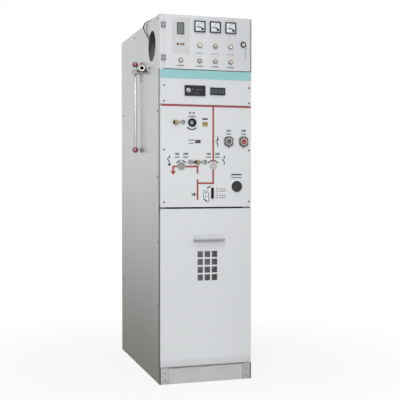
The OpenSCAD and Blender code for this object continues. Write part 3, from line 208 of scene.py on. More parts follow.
class Paint(Nodes):
    """One finish in the making."""

    def __init__(self, name, **fixed):
        self.material = bpy.data.materials.new(name)
        self.material.use_nodes = True
        super().__init__(self.material.node_tree)
        self.shader = self.tree.nodes["Principled BSDF"]
        for socket, value in fixed.items():
            self.shader.inputs[socket.replace("_", " ")].default_value = value
        self.place = self.node("ShaderNodeTexCoord", out="Object")

    def axes(self):
        """The three Object coordinates in metres."""
        x = self.node("ShaderNodeSeparateXYZ", sockets={0: self.place}, out="X")
        return x, x.out("Y"), x.out("Z")

    def noise(self, *per_metre, detail=3.0):
        """Soft random number about 0 with so many patches per metre, along each axis or all three."""
        scale = per_metre if len(per_metre) == 3 else per_metre * 3
        spot = self.node("ShaderNodeMapping", sockets={"Vector": self.place, "Scale": scale})
        sockets = {"Vector": spot, "Scale": 1.0, "Detail": detail}
        return self.node("ShaderNodeTexNoise", sockets=sockets, out="Fac") - 0.5

    def crystals(self, per_metre):
        """Random number about 0, one for each crystal patch."""
        cell = self.node("ShaderNodeTexVoronoi", sockets={"Vector": self.place, "Scale": per_metre}, out="Color")
        return self.node("ShaderNodeSeparateColor", sockets={0: cell}, out="Red") - 0.5

    def ramp(self, value, low, high):
        """0 below low, 1 above high, smooth between."""
        return self.node("ShaderNodeMapRange", {"interpolation_type": "SMOOTHSTEP"},
                         {"Value": value, "From Min": low, "From Max": high})

    def mix(self, factor, low, high):
        """Colour between two colours."""
        return self.node("ShaderNodeMix", {"data_type": "RGBA"}, {0: factor, 6: low, 7: high}, out=2)

    def disc(self, x, z, radius):
        """1 within a radius of a point of the front plane, else 0."""
        px, _, pz = self.axes()
        return (px - x) ** 2.0 + (pz - z) ** 2.0 < radius * radius

    def window(self, node, edge):
        """1 inside a CAD node's outline drawn in by an edge, from the front."""
        low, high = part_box(node)
        x, _, z = self.axes()
        return (x > low[0] + edge) * (x < high[0] - edge) * (z > low[2] + edge) * (z < high[2] - edge)

    def colour(self, value):
        """Joins the base colour."""
        self.join(self.shader.inputs["Base Color"], value)

    def done(self, rough, height=None, depth=0.0, strength=0.0):
        """Joins the roughness and, with a height, a bump of a depth in metres. Gives the finish."""
        self.join(self.shader.inputs["Roughness"], rough)
        if height is not None:
            sockets = {"Strength": strength, "Distance": depth, "Height": height}
            self.join(self.shader.inputs["Normal"], self.node("ShaderNodeBump", sockets=sockets, out="Normal"))
        return self.material


def rgba(colour, gain=1.0):
    """Shader colour from a linear colour, made lighter or darker."""
    return tuple(min(1.0, c * gain) for c in colour) + (1.0,)


def shade(red, green, blue):
    """Shader colour from a screen colour given as 0 to 255."""
    return rgba(tone(red, green, blue))


def chosen(look, colour):
    """Linear colour from the name of a setting or from a screen colour."""
    return getattr(look, colour) if isinstance(colour, str) else tone(*colour)


def zinc_sheet(look, name):
    """Zinc sheet: upright streaks, faint crystals, duller to the floor, and painted shade: darker to the floor, along
    the front edges and in the cover gap.
    """
    p = Paint(name, Metallic=0.8, Specular_Tint=(0.85, 0.85, 0.85, 1.0))
    x, y, z = p.axes()
    streak = p.noise(60.0, 60.0, 0.9)
    patch = p.crystals(110.0)
    # Painted shade: the sheets darken towards the floor along a line wobbled by a slow noise
    foot_shade_wobble = p.noise(2.2, 2.2, 1.4)
    height = p.ramp(z + foot_shade_wobble * 0.2, -0.15, 1.3)
    metal = p.mix(streak * 0.22 + patch * 0.03 + height, rgba(look.zinc_foot), rgba(look.zinc))
    # Painted shade along the sheets' front edges, beside the front panels
    edge = (y < LIP + 0.003) * (z < DOOR_SILL) * (x * x > CORNER_END ** 2)
    # Painted shade on the front posts in the gap between the cable cover and the mechanism panel
    post_gap_shade = (y < LIP + 0.003) * (x * x < CORNER_END ** 2) * (z > COVER_TOP - 0.004) * (z < COVER_TOP + 0.013)
    p.colour(p.mix(post_gap_shade, p.mix(edge * 0.85, metal, shade(84, 84, 86)), shade(112, 112, 114)))
    return p.done(0.48 - p.ramp(z, 0.0, 1.4) * 0.22 + streak * 0.1, streak, 0.0003, 0.012)


def rolled_zinc(name):
    """Zinc coated channel in the making, its level streaks and its rubbed patches."""
    p = Paint(name, Metallic=0.65)
    return p, p.noise(2.0, 40.0, 120.0), p.noise(14.0, 14.0, 20.0)


def base_zinc(look, name):
    """Base channels: painted shade at the outer ends and on the right corner plate, scuffs near the floor."""
    p, streak, rub = rolled_zinc(name)
    x, y, z = p.axes()
    floor = 1.0 - p.ramp(z + rub * 0.03, 0.0, 0.03)
    # Painted shade: the right corner plate is darker
    metal = p.mix(streak * 0.5 + rub * 0.5 + 0.75 - floor * 0.35 - (x > CORNER_SEAM - 0.004) * 0.4,
                  rgba(look.base, 0.72), rgba(look.base, 1.04))
    # Painted shade at the outer ends of the corner plates, beside the side sheets
    end = p.ramp(x * x, (CORNER_END - 0.007) ** 2, (CORNER_END - 0.003) ** 2) * (y < BASE_FRONT)
    p.colour(p.mix(end * 0.85, metal, shade(50, 50, 52)))
    return p.done(0.42 + rub * 0.2, streak, 0.0002, 0.06)


def kick_zinc(look, name):
    """Kick plate: painted shadow under the cover and painted shade along the corner plates."""
    p, streak, rub = rolled_zinc(name)
    x, _, z = p.axes()
    metal = p.mix(streak * 0.5 + rub * 0.5 + 0.85, rgba(look.base, 0.72), rgba(look.base, 1.06))
    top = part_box("kick_plate")[1][2]
    # Painted shadow of the cover's lower edge across the top of the kick plate
    dirt_and_cast_shadow = p.ramp(z + rub * 0.006, top - 0.010, top - 0.004)
    # Painted shade at the joins with the corner plates
    seam = p.ramp(x * x, (CORNER_SEAM - 0.004) ** 2, CORNER_SEAM ** 2)
    p.colour(p.mix(dirt_and_cast_shadow.most(seam) * 0.8, metal, shade(92, 92, 94)))
    return p.done(0.42 + rub * 0.2, streak, 0.0002, 0.06)


def front_enamel(look, name):
    """Powder coat: orange peel, drift of tone, painted light paler low down, painted shade deeper to the top and right,
    on the folded edges and darkest in the cover gap.
    """
    p = Paint(name, Coat_Weight=0.05, Coat_Roughness=0.3)
    x, y, z = p.axes()
    drift = p.noise(1.6, 1.6, 1.0)
    grain = p.noise(420.0, detail=2.0)
    # Painted light paler low down, and painted shade deeper to the top
    dust_and_painted_light = 1.0 - p.ramp(z, 0.05, 0.5)
    deep = p.ramp(z, 1.15, 1.8)
    coat = p.mix(0.75 + drift * 0.45 + grain * 0.08 + dust_and_painted_light * 0.12 - deep * 0.56,
                 rgba(look.front, 0.85), rgba(look.front, 1.05))
    # Painted shade to the right, stronger on the door
    right_shade = p.ramp(x, -0.05, 0.22) * (0.1 + (z > DOOR_SILL) * 0.18)
    coat = p.mix(right_shade, coat, shade(168, 170, 174))
    # Painted shade on the folded edges of the front panels, darkest beside the gap at the cover's top
    fold = p.ramp(y, FACE + 0.0005, FACE + 0.005) * (z < DOOR_SILL) * (x * x > FOLD_START ** 2)
    gap = fold * (z > COVER_TOP - 0.022) * (z < COVER_TOP + 0.022)
    p.colour(p.mix(gap * 0.9, p.mix(fold * 0.9, coat, shade(112, 113, 115)), shade(48, 48, 50)))
    return p.done(0.42 + drift * 0.12 + grain * 0.08, grain, 0.0002, 0.06)


def handle_enamel(look, name):
    """Coat of the lifting handle: a painted shaded copy of the panels' colour, with a painted shadow along its lower
    lip.
    """
    p = Paint(name, Coat_Weight=0.05, Coat_Roughness=0.3)
    z = p.axes()[2]
    rub = p.noise(30.0, 30.0, 60.0)
    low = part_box("cover_handle")[0][2]
    # Painted shadow along the lower lip; the coat between is the panels' colour made darker as painted shade
    lip = 1.0 - p.ramp(z + rub * 0.002, low + 0.005, low + 0.011)
    p.colour(p.mix(lip * 0.9, p.mix(rub + 0.5, rgba(look.front, 0.74), rgba(look.front, 0.84)), shade(138, 138, 139)))
    return p.done(0.42 + rub * 0.15)


def moulded(look, name, colour, rough, grain, coat=0.0, shine=0.5):
    """Moulded plastic or enamel: fine grain and a faint cloud of tone."""
    p = Paint(name, Coat_Weight=coat, Coat_Roughness=0.12, Specular_IOR_Level=shine)
    base = chosen(look, colour)
    fine = p.noise(900.0, detail=2.0)
    cloud = p.noise(16.0)
    p.colour(p.mix(0.5 + fine * 0.5 + cloud * 0.9, rgba(base, 0.86), rgba(base, 1.12)))
    return p.done(rough + fine * grain + cloud * 0.08, fine, 0.0002, 0.12)


def turned_metal(look, name, colour, rough, tarnish):
    """Turned metal: fine rings of tool marks and a cloudy tarnish."""
    p = Paint(name, Metallic=1.0)
    base = chosen(look, colour)
    ring = p.noise(60.0, 1500.0, 60.0, detail=2.0)
    cloud = p.noise(55.0)
    p.colour(p.mix(0.7 + ring * 0.5 - cloud * tarnish * 4.0, rgba(base, 0.6), rgba(base, 1.05)))
    return p.done(rough + ring * 0.12 + cloud * 0.2, ring, 0.0001, 0.08)


def bolt_brass(look, name):
    """Turned brass of an interlock bolt, with painted shade on the left of the rim."""
    p = Paint(name, Metallic=0.9)
    x = p.axes()[0]
    cloud = p.noise(80.0)
    bx, _, bz = middle(name)
    # Painted shade on the left of the rim
    black = p.disc(bx, bz, 0.02) * p.ramp(bx - x + cloud * 0.003, 0.004, 0.009)
    p.colour(p.mix(black, p.mix(cloud + 0.5, rgba(look.brass, 0.8), rgba(look.brass, 1.2)), shade(26, 23, 20)))
    return p.done(0.38 + cloud * 0.2)


def flag_card(look, name):
    """Yellow flag card, with painted shade deepening it above a paler lower edge."""
    p = Paint(name, Specular_IOR_Level=0.3)
    z = p.axes()[2]
    fibre = p.noise(300.0)
    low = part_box("charge_flag")[0][2]
    # Painted shade: the card is deeper above its pale lower edge
    p.colour(p.mix(p.ramp(z + fibre * 0.004, low, low + 0.014), shade(186, 180, 134), rgba(look.flag)))
    return p.done(0.45 + fibre * 0.1)


def window_ring(look, name):
    """Pale ring of the viewing window with a dark rubber seal at its inner edge."""
    p = Paint(name)
    x, _, z = middle("window_bezel")
    fine = p.noise(900.0, detail=2.0)
    pale = p.mix(fine + 0.5, shade(212, 213, 214), shade(230, 231, 232))
    p.colour(p.mix(p.disc(x, z, WINDOW_SEAL), pale, shade(56, 57, 59)))
    return p.done(0.42 + fine * 0.15, fine, 0.0002, 0.1)


def chrome(look, name, facing, bright, bored=False):
    """Chrome bar: a painted highlight along the side that faces one way, painted shade behind it; dull end and painted
    shade in the bore.
    """
    p = Paint(name, Metallic=1.0)
    low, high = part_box(name)
    x, y, z = middle(name)
    radius = min(b - a for a, b in zip(low, high)) / 2
    turn = sum((place - m) * (part / radius) for place, m, part in zip(p.axes(), (x, y, z), facing))
    cloud = p.noise(30.0, 30.0, 4.0, detail=0.0)
    # Painted shade on the side turned away and a painted highlight along the side that faces one way, fading down the
    # bar
    side = p.mix(p.ramp(turn, -0.7, 0.4), shade(106, 107, 109), shade(160, 161, 163))
    length = p.ramp(p.axes()[2], low[2] - 0.05, high[2] - 0.1) * 0.75 + 0.25
    plated = p.mix(p.ramp(turn, 0.80, 0.98) * (1.0 + cloud * 0.4) * length, side, shade(*bright))
    if bored:
        # Painted shade inside the bore
        depth = p.axes()[1] - low[1]
        bore = p.disc(x, z, TUBE_BORE) * (depth > 0.0005) * (depth < 0.06)
        plated = p.mix(bore, p.mix(depth < 0.0006, plated, shade(180, 181, 175)), shade(64, 64, 66))
    p.colour(plated)
    return p.done(0.472 + cloud * 0.12)


def ball_gloss(look, name):
    """Red balls with a broad painted highlight where each faces the front."""
    p = Paint(name, Coat_Weight=1.0, Coat_Roughness=0.12)
    low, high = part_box("lever_balls")
    x, y, _ = middle("lever_balls")
    radius = (high[0] - low[0]) / 2
    px, py, _ = p.axes()
    fine = p.noise(300.0)
    # Painted highlight where each ball faces the front
    ahead = ((px - x) * -0.25 + (py - y) * -0.97) / radius
    shine = sum(p.ramp(ahead + fine * 0.04, 0.86, 1.0) * p.disc(x, z, radius)
                for z in (low[2] + radius, high[2] - radius))
    p.colour(p.mix(shine * 0.6, p.mix(fine + 0.5, rgba(look.ball, 0.8), rgba(look.ball, 1.1)), shade(226, 122, 132)))
    return p.done(0.3 + fine * 0.05)


def cast_guard(look, name):
    """Cast button guards, with the raised ring rubbed bright."""
    p = Paint(name, Metallic=0.35)
    ring = sum(p.disc(x, z, GUARD_RING) for x, _, z in (middle("close_button"), middle("open_button")))
    y = p.axes()[1]
    grain = p.noise(500.0, detail=2.0)
    bright = ring * (y < FACE - 0.0085)
    p.colour(p.mix(bright * 0.9 + grain * 0.4, rgba(look.guard), shade(222, 221, 220)))
    return p.done(0.45 + grain * 0.2, grain, 0.0003, 0.15)


def lamp_glass(look, name):
    """Lamp lenses: a tint for each, lit ones glow, all are paler in the middle."""
    p = Paint(name, Emission_Strength=1.0, Coat_Weight=0.3, Coat_Roughness=0.1)
    low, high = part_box("lamp_lenses")
    radius = 10.0 * MM
    upper, lower = high[2] - radius, low[2] + radius
    lamps = [
        (METERS[0], upper, (198, 170, 124), (0.24, 0.21, 0.14)),
        (METERS[1], upper, (140, 141, 130), (0.02, 0.02, 0.01)),
        (METERS[2], upper, (174, 168, 136), (0.26, 0.25, 0.19)),
        (low[0] + radius, lower, (150, 151, 146), (0.04, 0.04, 0.04)),
        (METERS[0], lower, (134, 136, 131), (0.01, 0.01, 0.01)),
        (METERS[1], lower, (130, 132, 126), (0.01, 0.01, 0.01)),
        (METERS[2], lower, (184, 136, 106), (0.02, 0.01, 0.01)),
    ]
    black = (0.0, 0.0, 0.0, 1.0)
    tint, glow = shade(150, 150, 146), black
    pale = 0.0
    for x, z, shown, light in lamps:
        pale = p.disc(x, z, 5.0 * MM) + pale
        here = p.disc(x, z, 12.0 * MM)
        tint = p.mix(here, tint, shade(*shown))
        glow = p.mix(here, glow, light + (1.0,))
    frost = p.noise(700.0, detail=2.0)
    p.colour(p.mix(pale * 0.45 + frost * 0.12, tint, (0.95, 0.94, 0.88, 1.0)))
    p.join(p.shader.inputs["Emission Color"], p.mix(pale, black, glow))
    return p.done(0.25 + frost * 0.2, frost, 0.0002, 0.1)


def dial_card(look, name):
    """White card behind a clear pane, greyer in the field of the scale."""
    p = Paint(name, Coat_Weight=0.5, Coat_Roughness=0.05)
    fibre = p.noise(500.0)
    cloud = p.noise(22.0)
    z = middle("meter_cases")[2]
    field = sum(p.disc(x + PIVOT_X, z + PIVOT_Z, 0.028) for x in METERS)
    card = p.mix(fibre * 0.3 + cloud + 0.5, shade(222, 227, 234), shade(246, 248, 250))
    p.colour(p.mix(field * 0.35, card, shade(176, 180, 188)))
    return p.done(0.5 + fibre * 0.15)


def display_face(look, name):
    """Display moulding: a grey screen in a dark rim."""
    p = Paint(name, Coat_Weight=0.2, Coat_Roughness=0.1)
    screen = p.window("door_display", 5.0 * MM)
    fine = p.noise(800.0, detail=2.0)
    cloud = p.noise(25.0, 25.0, 12.0)
    rim_tone = p.mix(cloud + 0.5, shade(58, 61, 62), shade(84, 86, 87))
    screen_tone = p.mix(cloud + 0.5, shade(98, 103, 101), shade(124, 130, 127))
    p.colour(p.mix(screen, rim_tone, screen_tone))
    return p.done(0.35 - screen * 0.12 + fine * 0.1, fine, 0.0002, 0.08)


def voltage_face(look, name):
    """Black voltage indicator with grey liquid crystal fields."""
    p = Paint(name, Specular_IOR_Level=0.25)
    y = p.axes()[1]
    field = (y > SCREEN + 0.0008) * p.window("voltage_indicator", 5.0 * MM)
    fine = p.noise(800.0, detail=2.0)
    p.colour(p.mix(field * 0.9 + fine * 0.1, rgba(look.black), shade(84, 88, 90)))
    return p.done(0.42 - field * 0.2 + fine * 0.2, fine, 0.0002, 0.1)


def shaft_grey(look, name):
    """Dull spun discs; the earth switch disc is the darker one."""
    p = Paint(name, Metallic=0.3)
    x = p.axes()[0]
    spun = p.noise(300.0, detail=2.0)
    plain = p.mix(x < DISC_SPLIT, shade(186, 187, 181), shade(144, 146, 141))
    p.colour(p.mix(spun * 0.5 + 0.1, plain, shade(120, 121, 118)))
    return p.done(0.46 + spun * 0.2, spun, 0.0002, 0.08)


def slide_plate(look, name):
    """Pale zinc slide plates with rubbed marks along the slots."""
    p = Paint(name, Metallic=0.5)
    rub = p.noise(14.0, 60.0, 220.0)
    p.colour(p.mix(rub + 0.5, shade(156, 158, 159), shade(190, 192, 193)))
    return p.done(0.42 + rub * 0.25)


def woven_mesh(look, name):
    """Dark woven wire cloth: crossing sine ridges 3 mm apart, with painted light to the left and painted shade to the
    right.
    """
    p = Paint(name, Metallic=0.4)
    x, _, z = p.axes()
    weave = x.sine(3.0 * MM) * z.sine(3.0 * MM) * 0.5 + 0.5
    dirt_and_cast_shadow = p.noise(60.0)
    patch = p.noise(17.0)
    # Painted light to the left and painted shade to the right
    p.colour(p.mix(weave * 0.5 + dirt_and_cast_shadow * 0.8 + patch * 1.3 + 0.22 - (x - 0.005) * 7.0,
                   shade(34, 35, 39), shade(108, 108, 112)))
    return p.done(0.5 + dirt_and_cast_shadow * 0.2, weave, 0.0005, 0.6)


def smoked_pane(look, name):
    """Smoked viewing pane: dark, smooth, faintly dusty."""
    p = Paint(name, Specular_IOR_Level=0.3)
    dust_and_painted_light = p.noise(90.0)
    haze = p.noise(7.0, 7.0, 9.0)
    p.colour(p.mix(dust_and_painted_light * 0.4 + haze + 0.5, shade(36, 37, 39), shade(58, 60, 61)))
    return p.done(0.28 + dust_and_painted_light * 0.2)


# Finish of a CAD node or material slot: its maker, then what that maker takes. A colour may be a setting's name.
FINISHES = {
    "galvanised": (zinc_sheet,),
    "lever_bracket": (turned_metal, (196, 197, 199), 0.5, 0.1),
    "base_steel": (base_zinc,),
    "kick_plate": (kick_zinc,),
    "front_paint": (front_enamel,),
    "cover_handle": (handle_enamel,),
    "instrument_back": (moulded, (206, 207, 208), 0.55, 0.1),
    "hinge_grey": (moulded, "hinge", 0.36, 0.12),
    "button_guards": (cast_guard,),
    "teal_strip": (moulded, "teal", 0.45, 0.1),
    "black_plastic": (moulded, "black", 0.42, 0.18, 0.0, 0.25),
    "dial_white": (dial_card,),
    "display_grey": (display_face,),
    "voltage_indicator": (voltage_face,),
    "charging_socket": (moulded, "black", 0.5, 0.1, 0.0, 0.05),
    "lock_ring": (moulded, "black", 0.5, 0.1, 0.0, 0.05),
    "lock_barrel": (turned_metal, (190, 191, 192), 0.34, 0.2),
    "lamp_ring": (turned_metal, (148, 150, 152), 0.3, 0.1),
    "lamp_lens": (lamp_glass,),
    "bright_steel": (turned_metal, (164, 166, 168), 0.36, 0.1),
    "mimic_red": (moulded, "mimic", 0.45, 0.1, 0.0, 0.3),
    "charge_yellow": (flag_card,),
    "disc_grey": (shaft_grey,),
    "interlock_backing": (slide_plate,),
    "pale_bezel": (moulded, (222, 223, 224), 0.4, 0.12),
    "window_bezel": (window_ring,),
    "dark_pane": (smoked_pane,),
    "charging_bolt": (bolt_brass,),
    "selector_bolt": (bolt_brass,),
    "brass": (turned_metal, "brass", 0.3, 0.4),
    "button_dark": (moulded, "cap_dark", 0.35, 0.12, 0.1),
    "button_red": (moulded, "cap_red", 0.32, 0.12, 0.1),
    # Chrome bars: the way the painted highlight faces, its colour, and for the tube its bore
    "lever_rod": (chrome, (0.0, -1.0, 0.0), (230, 231, 232)),
    "lever_tube": (chrome, (-0.45, 0.0, 0.89), (232, 233, 234), True),
    "ball_red": (ball_gloss,),
    "wire_black": (moulded, (40, 40, 42), 0.5, 0.1, 0.0, 0.3),
    "mesh_dark": (woven_mesh,),
    "ink": (moulded, "ink", 0.6, 0.1, 0.0, 0.2),
    "pale_ink": (moulded, (186, 188, 190), 0.55, 0.1),
    "legend": (moulded, (126, 128, 131), 0.5, 0.1),
    "legend_pale": (moulded, (162, 164, 168), 0.5, 0.1),
    "legend_dark": (moulded, (78, 79, 83), 0.5, 0.1, 0.0, 0.3),
    "label": (moulded, (196, 197, 199), 0.5, 0.1),
    "screw_dark": (turned_metal, (74, 75, 78), 0.36, 0.2),
    "screw_black": (turned_metal, (48, 49, 52), 0.4, 0.2),
    "screw_zinc": (turned_metal, (132, 133, 135), 0.3, 0.2),
    "rivet": (turned_metal, (138, 139, 141), 0.3, 0.2),
    "rubber": (moulded, (34, 34, 35), 0.7, 0.1, 0.0, 0.3),
    "led_red": (moulded, (70, 24, 24), 0.25, 0.05, 0.1),
    "led_amber": (moulded, (148, 104, 58), 0.25, 0.05, 0.1),
    "led_green": (moulded, (54, 84, 60), 0.25, 0.05, 0.1),
}
MADE = {}


def finish(name):
    """The finish of that name, made once."""
    if name not in MADE:
        make, *words = FINISHES[name]
        MADE[name] = make(bpy.context.scene.cubicle_colours, name, *words)
    return MADE[name]


# Where the sideways, upward and outward directions of a small piece point
FRONTWARD = np.array([[1, 0, 0], [0, 0, 1], [0, -1, 0]], float)
LEFTWARD = np.array([[0, -1, 0], [0, 0, 1], [-1, 0, 0]], float)
RIGHTWARD = np.array([[0, 1, 0], [0, 0, 1], [1, 0, 0]], float)
BACKWARD = np.array([[-1, 0, 0], [0, 0, 1], [0, 1, 0]], float)
UPWARD = np.eye(3)
SPOKES = 32  # corners of a small round shape
CREASE = np.radians(28.0)  # faces that meet at a smaller angle are shaded as one


def grid_quads(rows, columns, ring=True):
    """Corner numbers of a grid's quads; a ring joins the last column to the first."""
    i = np.arange(rows - 1)[:, None]
    j = np.arange(columns if ring else columns - 1)[None, :]
    k = (j + 1) % columns
    corners = np.broadcast_arrays(i * columns + j, (i + 1) * columns + j, (i + 1) * columns + k, i * columns + k)
    return np.stack(corners, -1).reshape(-1, 4)


def around(steps):
    """Angles of a full turn."""
    return np.linspace(0, 2 * pi, steps, endpoint=False)


def squircle(steps, power):
    """Rounded square about 0: cos a and sin a, each times (|cos a|^n + |sin a|^n)^(-1/n)."""
    wave = np.stack([np.cos(around(steps)), np.sin(around(steps))])
    return wave * (abs(wave) ** power).sum(0) ** (-1 / power)


def skin(rows):
    """Surface over rows of points, each row a ring."""
    return rows.reshape(-1, 3), grid_quads(*rows.shape[:2])


def closed(rings):
    """Surface over rings, shut at both ends by a ring drawn in to its middle."""
    shut = np.repeat(rings.mean(1, keepdims=True), rings.shape[1], 1)
    return skin(np.concatenate([shut[:1], rings, shut[-1:]]))


def repeated(shape, places):
    """A shape at each place, as one: its points are moved by the place and its quads are counted on."""
    points, quads = shape
    places = np.asarray(places, float).reshape(-1, 3)
    steps = len(points) * np.arange(len(places))
    return (places[:, None] + points[None]).reshape(-1, 3), (steps[:, None, None] + quads[None]).reshape(-1, 4)


def together(shapes):
    """Several shapes as one: points one after another, quads counted on."""
    starts = np.cumsum([0] + [len(points) for points, _ in shapes[:-1]])
    return (np.concatenate([points for points, _ in shapes]),
            np.concatenate([quads + start for (_, quads), start in zip(shapes, starts)]))


def linked(name, data):
    """Object of that data, in the scene."""
    made = bpy.data.objects.new(name, data)
    bpy.context.scene.collection.objects.link(made)
    return made


def piece(name, shape, finish_name, body="cabinet"):
    """Makes the object: doubles merged, faces outward, soft shading below the crease angle, riding on a body."""
    points, faces = shape
    mesh = bpy.data.meshes.new(name)
    mesh.from_pydata(points.tolist(), [], faces if isinstance(faces, list) else faces.tolist())
    form = bmesh.new()
    form.from_mesh(mesh)
    bmesh.ops.remove_doubles(form, verts=form.verts, dist=1e-6)
    bmesh.ops.recalc_face_normals(form, faces=form.faces)
    form.to_mesh(mesh)
    form.free()
    mesh.polygons.foreach_set("use_smooth", np.ones(len(mesh.polygons), bool))
    mesh.set_sharp_from_angle(angle=CREASE)
    mesh.materials.append(finish(finish_name))
    made = linked(name, mesh)
    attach(made, body)
    return made


def turned(radii, heights, toward, spokes=SPOKES):
    """Solid of revolution in millimetres: row i is (r_i cos a, r_i sin a, h_i), turned to face one way."""
    angle = around(spokes)[None, :]
    radius, height = np.array(radii)[:, None] * MM, np.array(heights)[:, None] * MM
    local = np.stack([radius * np.cos(angle), radius * np.sin(angle), height + 0 * angle], -1)
    return skin(local @ toward)


def screw_head(diameter, toward, groove=0.5):
    """Low round head: height (1 - 0.8 r^2)^0.5, less a cross groove exp(-(nearest axis / 0.16)^4) inside 0.62 r."""
    r = np.array([0, 0.12, 0.24, 0.36, 0.48, 0.6, 0.66, 0.8, 0.92, 1, 1, 0])[:, None]
    angle = around(SPOKES)[None, :]
    u, v = r * np.cos(angle), r * np.sin(angle)
    cross = np.exp(-(np.minimum(abs(u), abs(v)) / 0.16) ** 4) * (r < 0.62)
    height = 0.62 * np.sqrt(1 - 0.8 * r ** 2) - groove * 0.45 * cross
    height[-2:] = 0
    local = np.stack([u, v, height], -1) * diameter / 2
    return skin(local @ toward)


def heads(name, places, diameter, toward, kind, body="cabinet"):
    """One piece of screw heads at points of the frame."""
    piece(name, repeated(screw_head(diameter, toward), places), kind, body)


def plate(width, height, thick, radius):
    """Flat plate: a quarter circle at each corner, straight sides between, carried in to the middle, edge bevelled."""
    angle = (np.arange(SPOKES) + 0.5)[None, :] * 2 * pi / SPOKES
    across, up = np.cos(angle), np.sin(angle)
    spread = np.array([0, 1, 1, 1, 0])[:, None]
    trim = np.array([0, 0.5, 0, 0, 0])[:, None] * thick
    rise = np.array([1, 1, 0.4, 0, 0])[:, None] * thick + 0 * angle
    u = spread * (np.sign(across) * (width / 2 - radius) + across * (radius - trim))
    v = spread * (np.sign(up) * (height / 2 - radius) + up * (radius - trim))
    return skin(np.stack([u, v, rise], -1) @ FRONTWARD)


def plates(name, rows, kind, body="cabinet", corner=1.5):
    """One piece of flat plates on the front, each (x, z, width, height) in millimetres."""
    thick = bpy.context.scene.cubicle_sizes.plate
    shapes = [repeated(plate(w * MM, h * MM, thick, corner * MM), front_places([(x, z)])) for x, z, w, h in rows]
    piece(name, together(shapes), kind, body)


def stroke(path, width, face=FACE):
    """Printed line on a front face: a four-cornered band carried along (x, z) points, its sides half a width away."""
    thick = bpy.context.scene.cubicle_sizes.ink
    path = np.asarray(path, float) * MM
    along = np.gradient(path, axis=0)
    along /= np.linalg.norm(along, axis=1, keepdims=True)
    aside = np.stack([-along[:, 1], along[:, 0]], 1) * np.broadcast_to(width, len(path))[:, None] / 2
    left, right = path + aside, path - aside
    corners = np.stack([left, left, right, right], 1)
    depth = np.broadcast_to([face, face - thick, face - thick, face], corners.shape[:2])
    return closed(np.stack([corners[..., 0], depth, corners[..., 1]], -1))


def arc(x, z, radius, start, end, steps=24):
    """Points (x, z) along a circle between two angles in degrees."""
    angle = np.radians(np.linspace(start, end, steps))
    return np.stack([x + radius * np.cos(angle), z + radius * np.sin(angle)], 1)


def lines(paths, width, face=FACE):
    """Printed lines, each straight stretch of a path with its own two ends."""
    return together([stroke(path[k:k + 2], width, face) for path in paths for k in range(len(path) - 1)])


def lettering(words, depth=FACE, bold=0.0):
    """Words on a front face as one mesh: (text, x, z, height) in millimetres, centred."""
    thick = bpy.context.scene.cubicle_sizes.ink
    points, faces = [], []
    for text, x, z, height in words:
        curve = bpy.data.curves.new("word", "FONT")
        curve.body, curve.align_x, curve.align_y = text, "CENTER", "CENTER"
        curve.size, curve.extrude, curve.resolution_u = height * 1.35 * MM, thick / 2, 3
        curve.offset = height * bold * MM
        holder = linked("word", curve)
        mesh = bpy.data.meshes.new_from_object(holder.evaluated_get(bpy.context.evaluated_depsgraph_get()))
        flat = np.empty(len(mesh.vertices) * 3)
        mesh.vertices.foreach_get("co", flat)
        flat = flat.reshape(-1, 3)
        start = sum(len(p) for p in points)
        points.append(flat @ FRONTWARD + [x * MM, depth - thick / 2, z * MM])
        corners, counts = np.empty(len(mesh.loops), int), np.empty(len(mesh.polygons), int)
        mesh.loops.foreach_get("vertex_index", corners)
        mesh.polygons.foreach_get("loop_total", counts)
        faces += [face.tolist() for face in np.split(corners + start, np.cumsum(counts)[:-1])]
        bpy.data.objects.remove(holder)
        bpy.data.curves.remove(curve)
        bpy.data.meshes.remove(mesh)
    return np.concatenate(points), faces


def printed(name, shape, body="cabinet"):
    """One piece of black printed marks."""
    piece(name, shape, "ink", body)


def front_places(places, face=FACE):
    """Points of a front face from (x, z) in millimetres."""
    flat = np.asarray(places, float) * MM
    return np.stack([flat[:, 0], np.full(len(flat), face), flat[:, 1]], 1)


def smooth_route(points, steps=6):
    """Catmull-Rom curve through the points, with so many steps from one to the next."""
    p = np.asarray(points, float)
    p = np.concatenate([p[:1], p, p[-1:]])
    t = np.linspace(0, 1, steps, endpoint=False)[None, :, None]
    a, b, c, d = (p[k:len(p) - 3 + k, None] for k in range(4))
    curve = 0.5 * (2 * b + (c - a) * t + (2 * a - 5 * b + 4 * c - d) * t ** 2 + (3 * b - a - 3 * c + d) * t ** 3)
    return np.concatenate([curve.reshape(-1, 3), p[-1:]])


def tube(path, radius, spokes=14):
    """Round tube: at each path point a circle square to the heading, u = heading x side, v = heading x u."""
    ahead = np.gradient(path, axis=0)
    ahead /= np.linalg.norm(ahead, axis=1, keepdims=True)
    u = np.cross(ahead, [0.857, 0.515, 0.0])
    u /= np.linalg.norm(u, axis=1, keepdims=True)
    v = np.cross(ahead, u)
    angle = around(spokes)[None, :, None]
    return closed(path[:, None] + radius * (np.cos(angle) * u[:, None] + np.sin(angle) * v[:, None]))


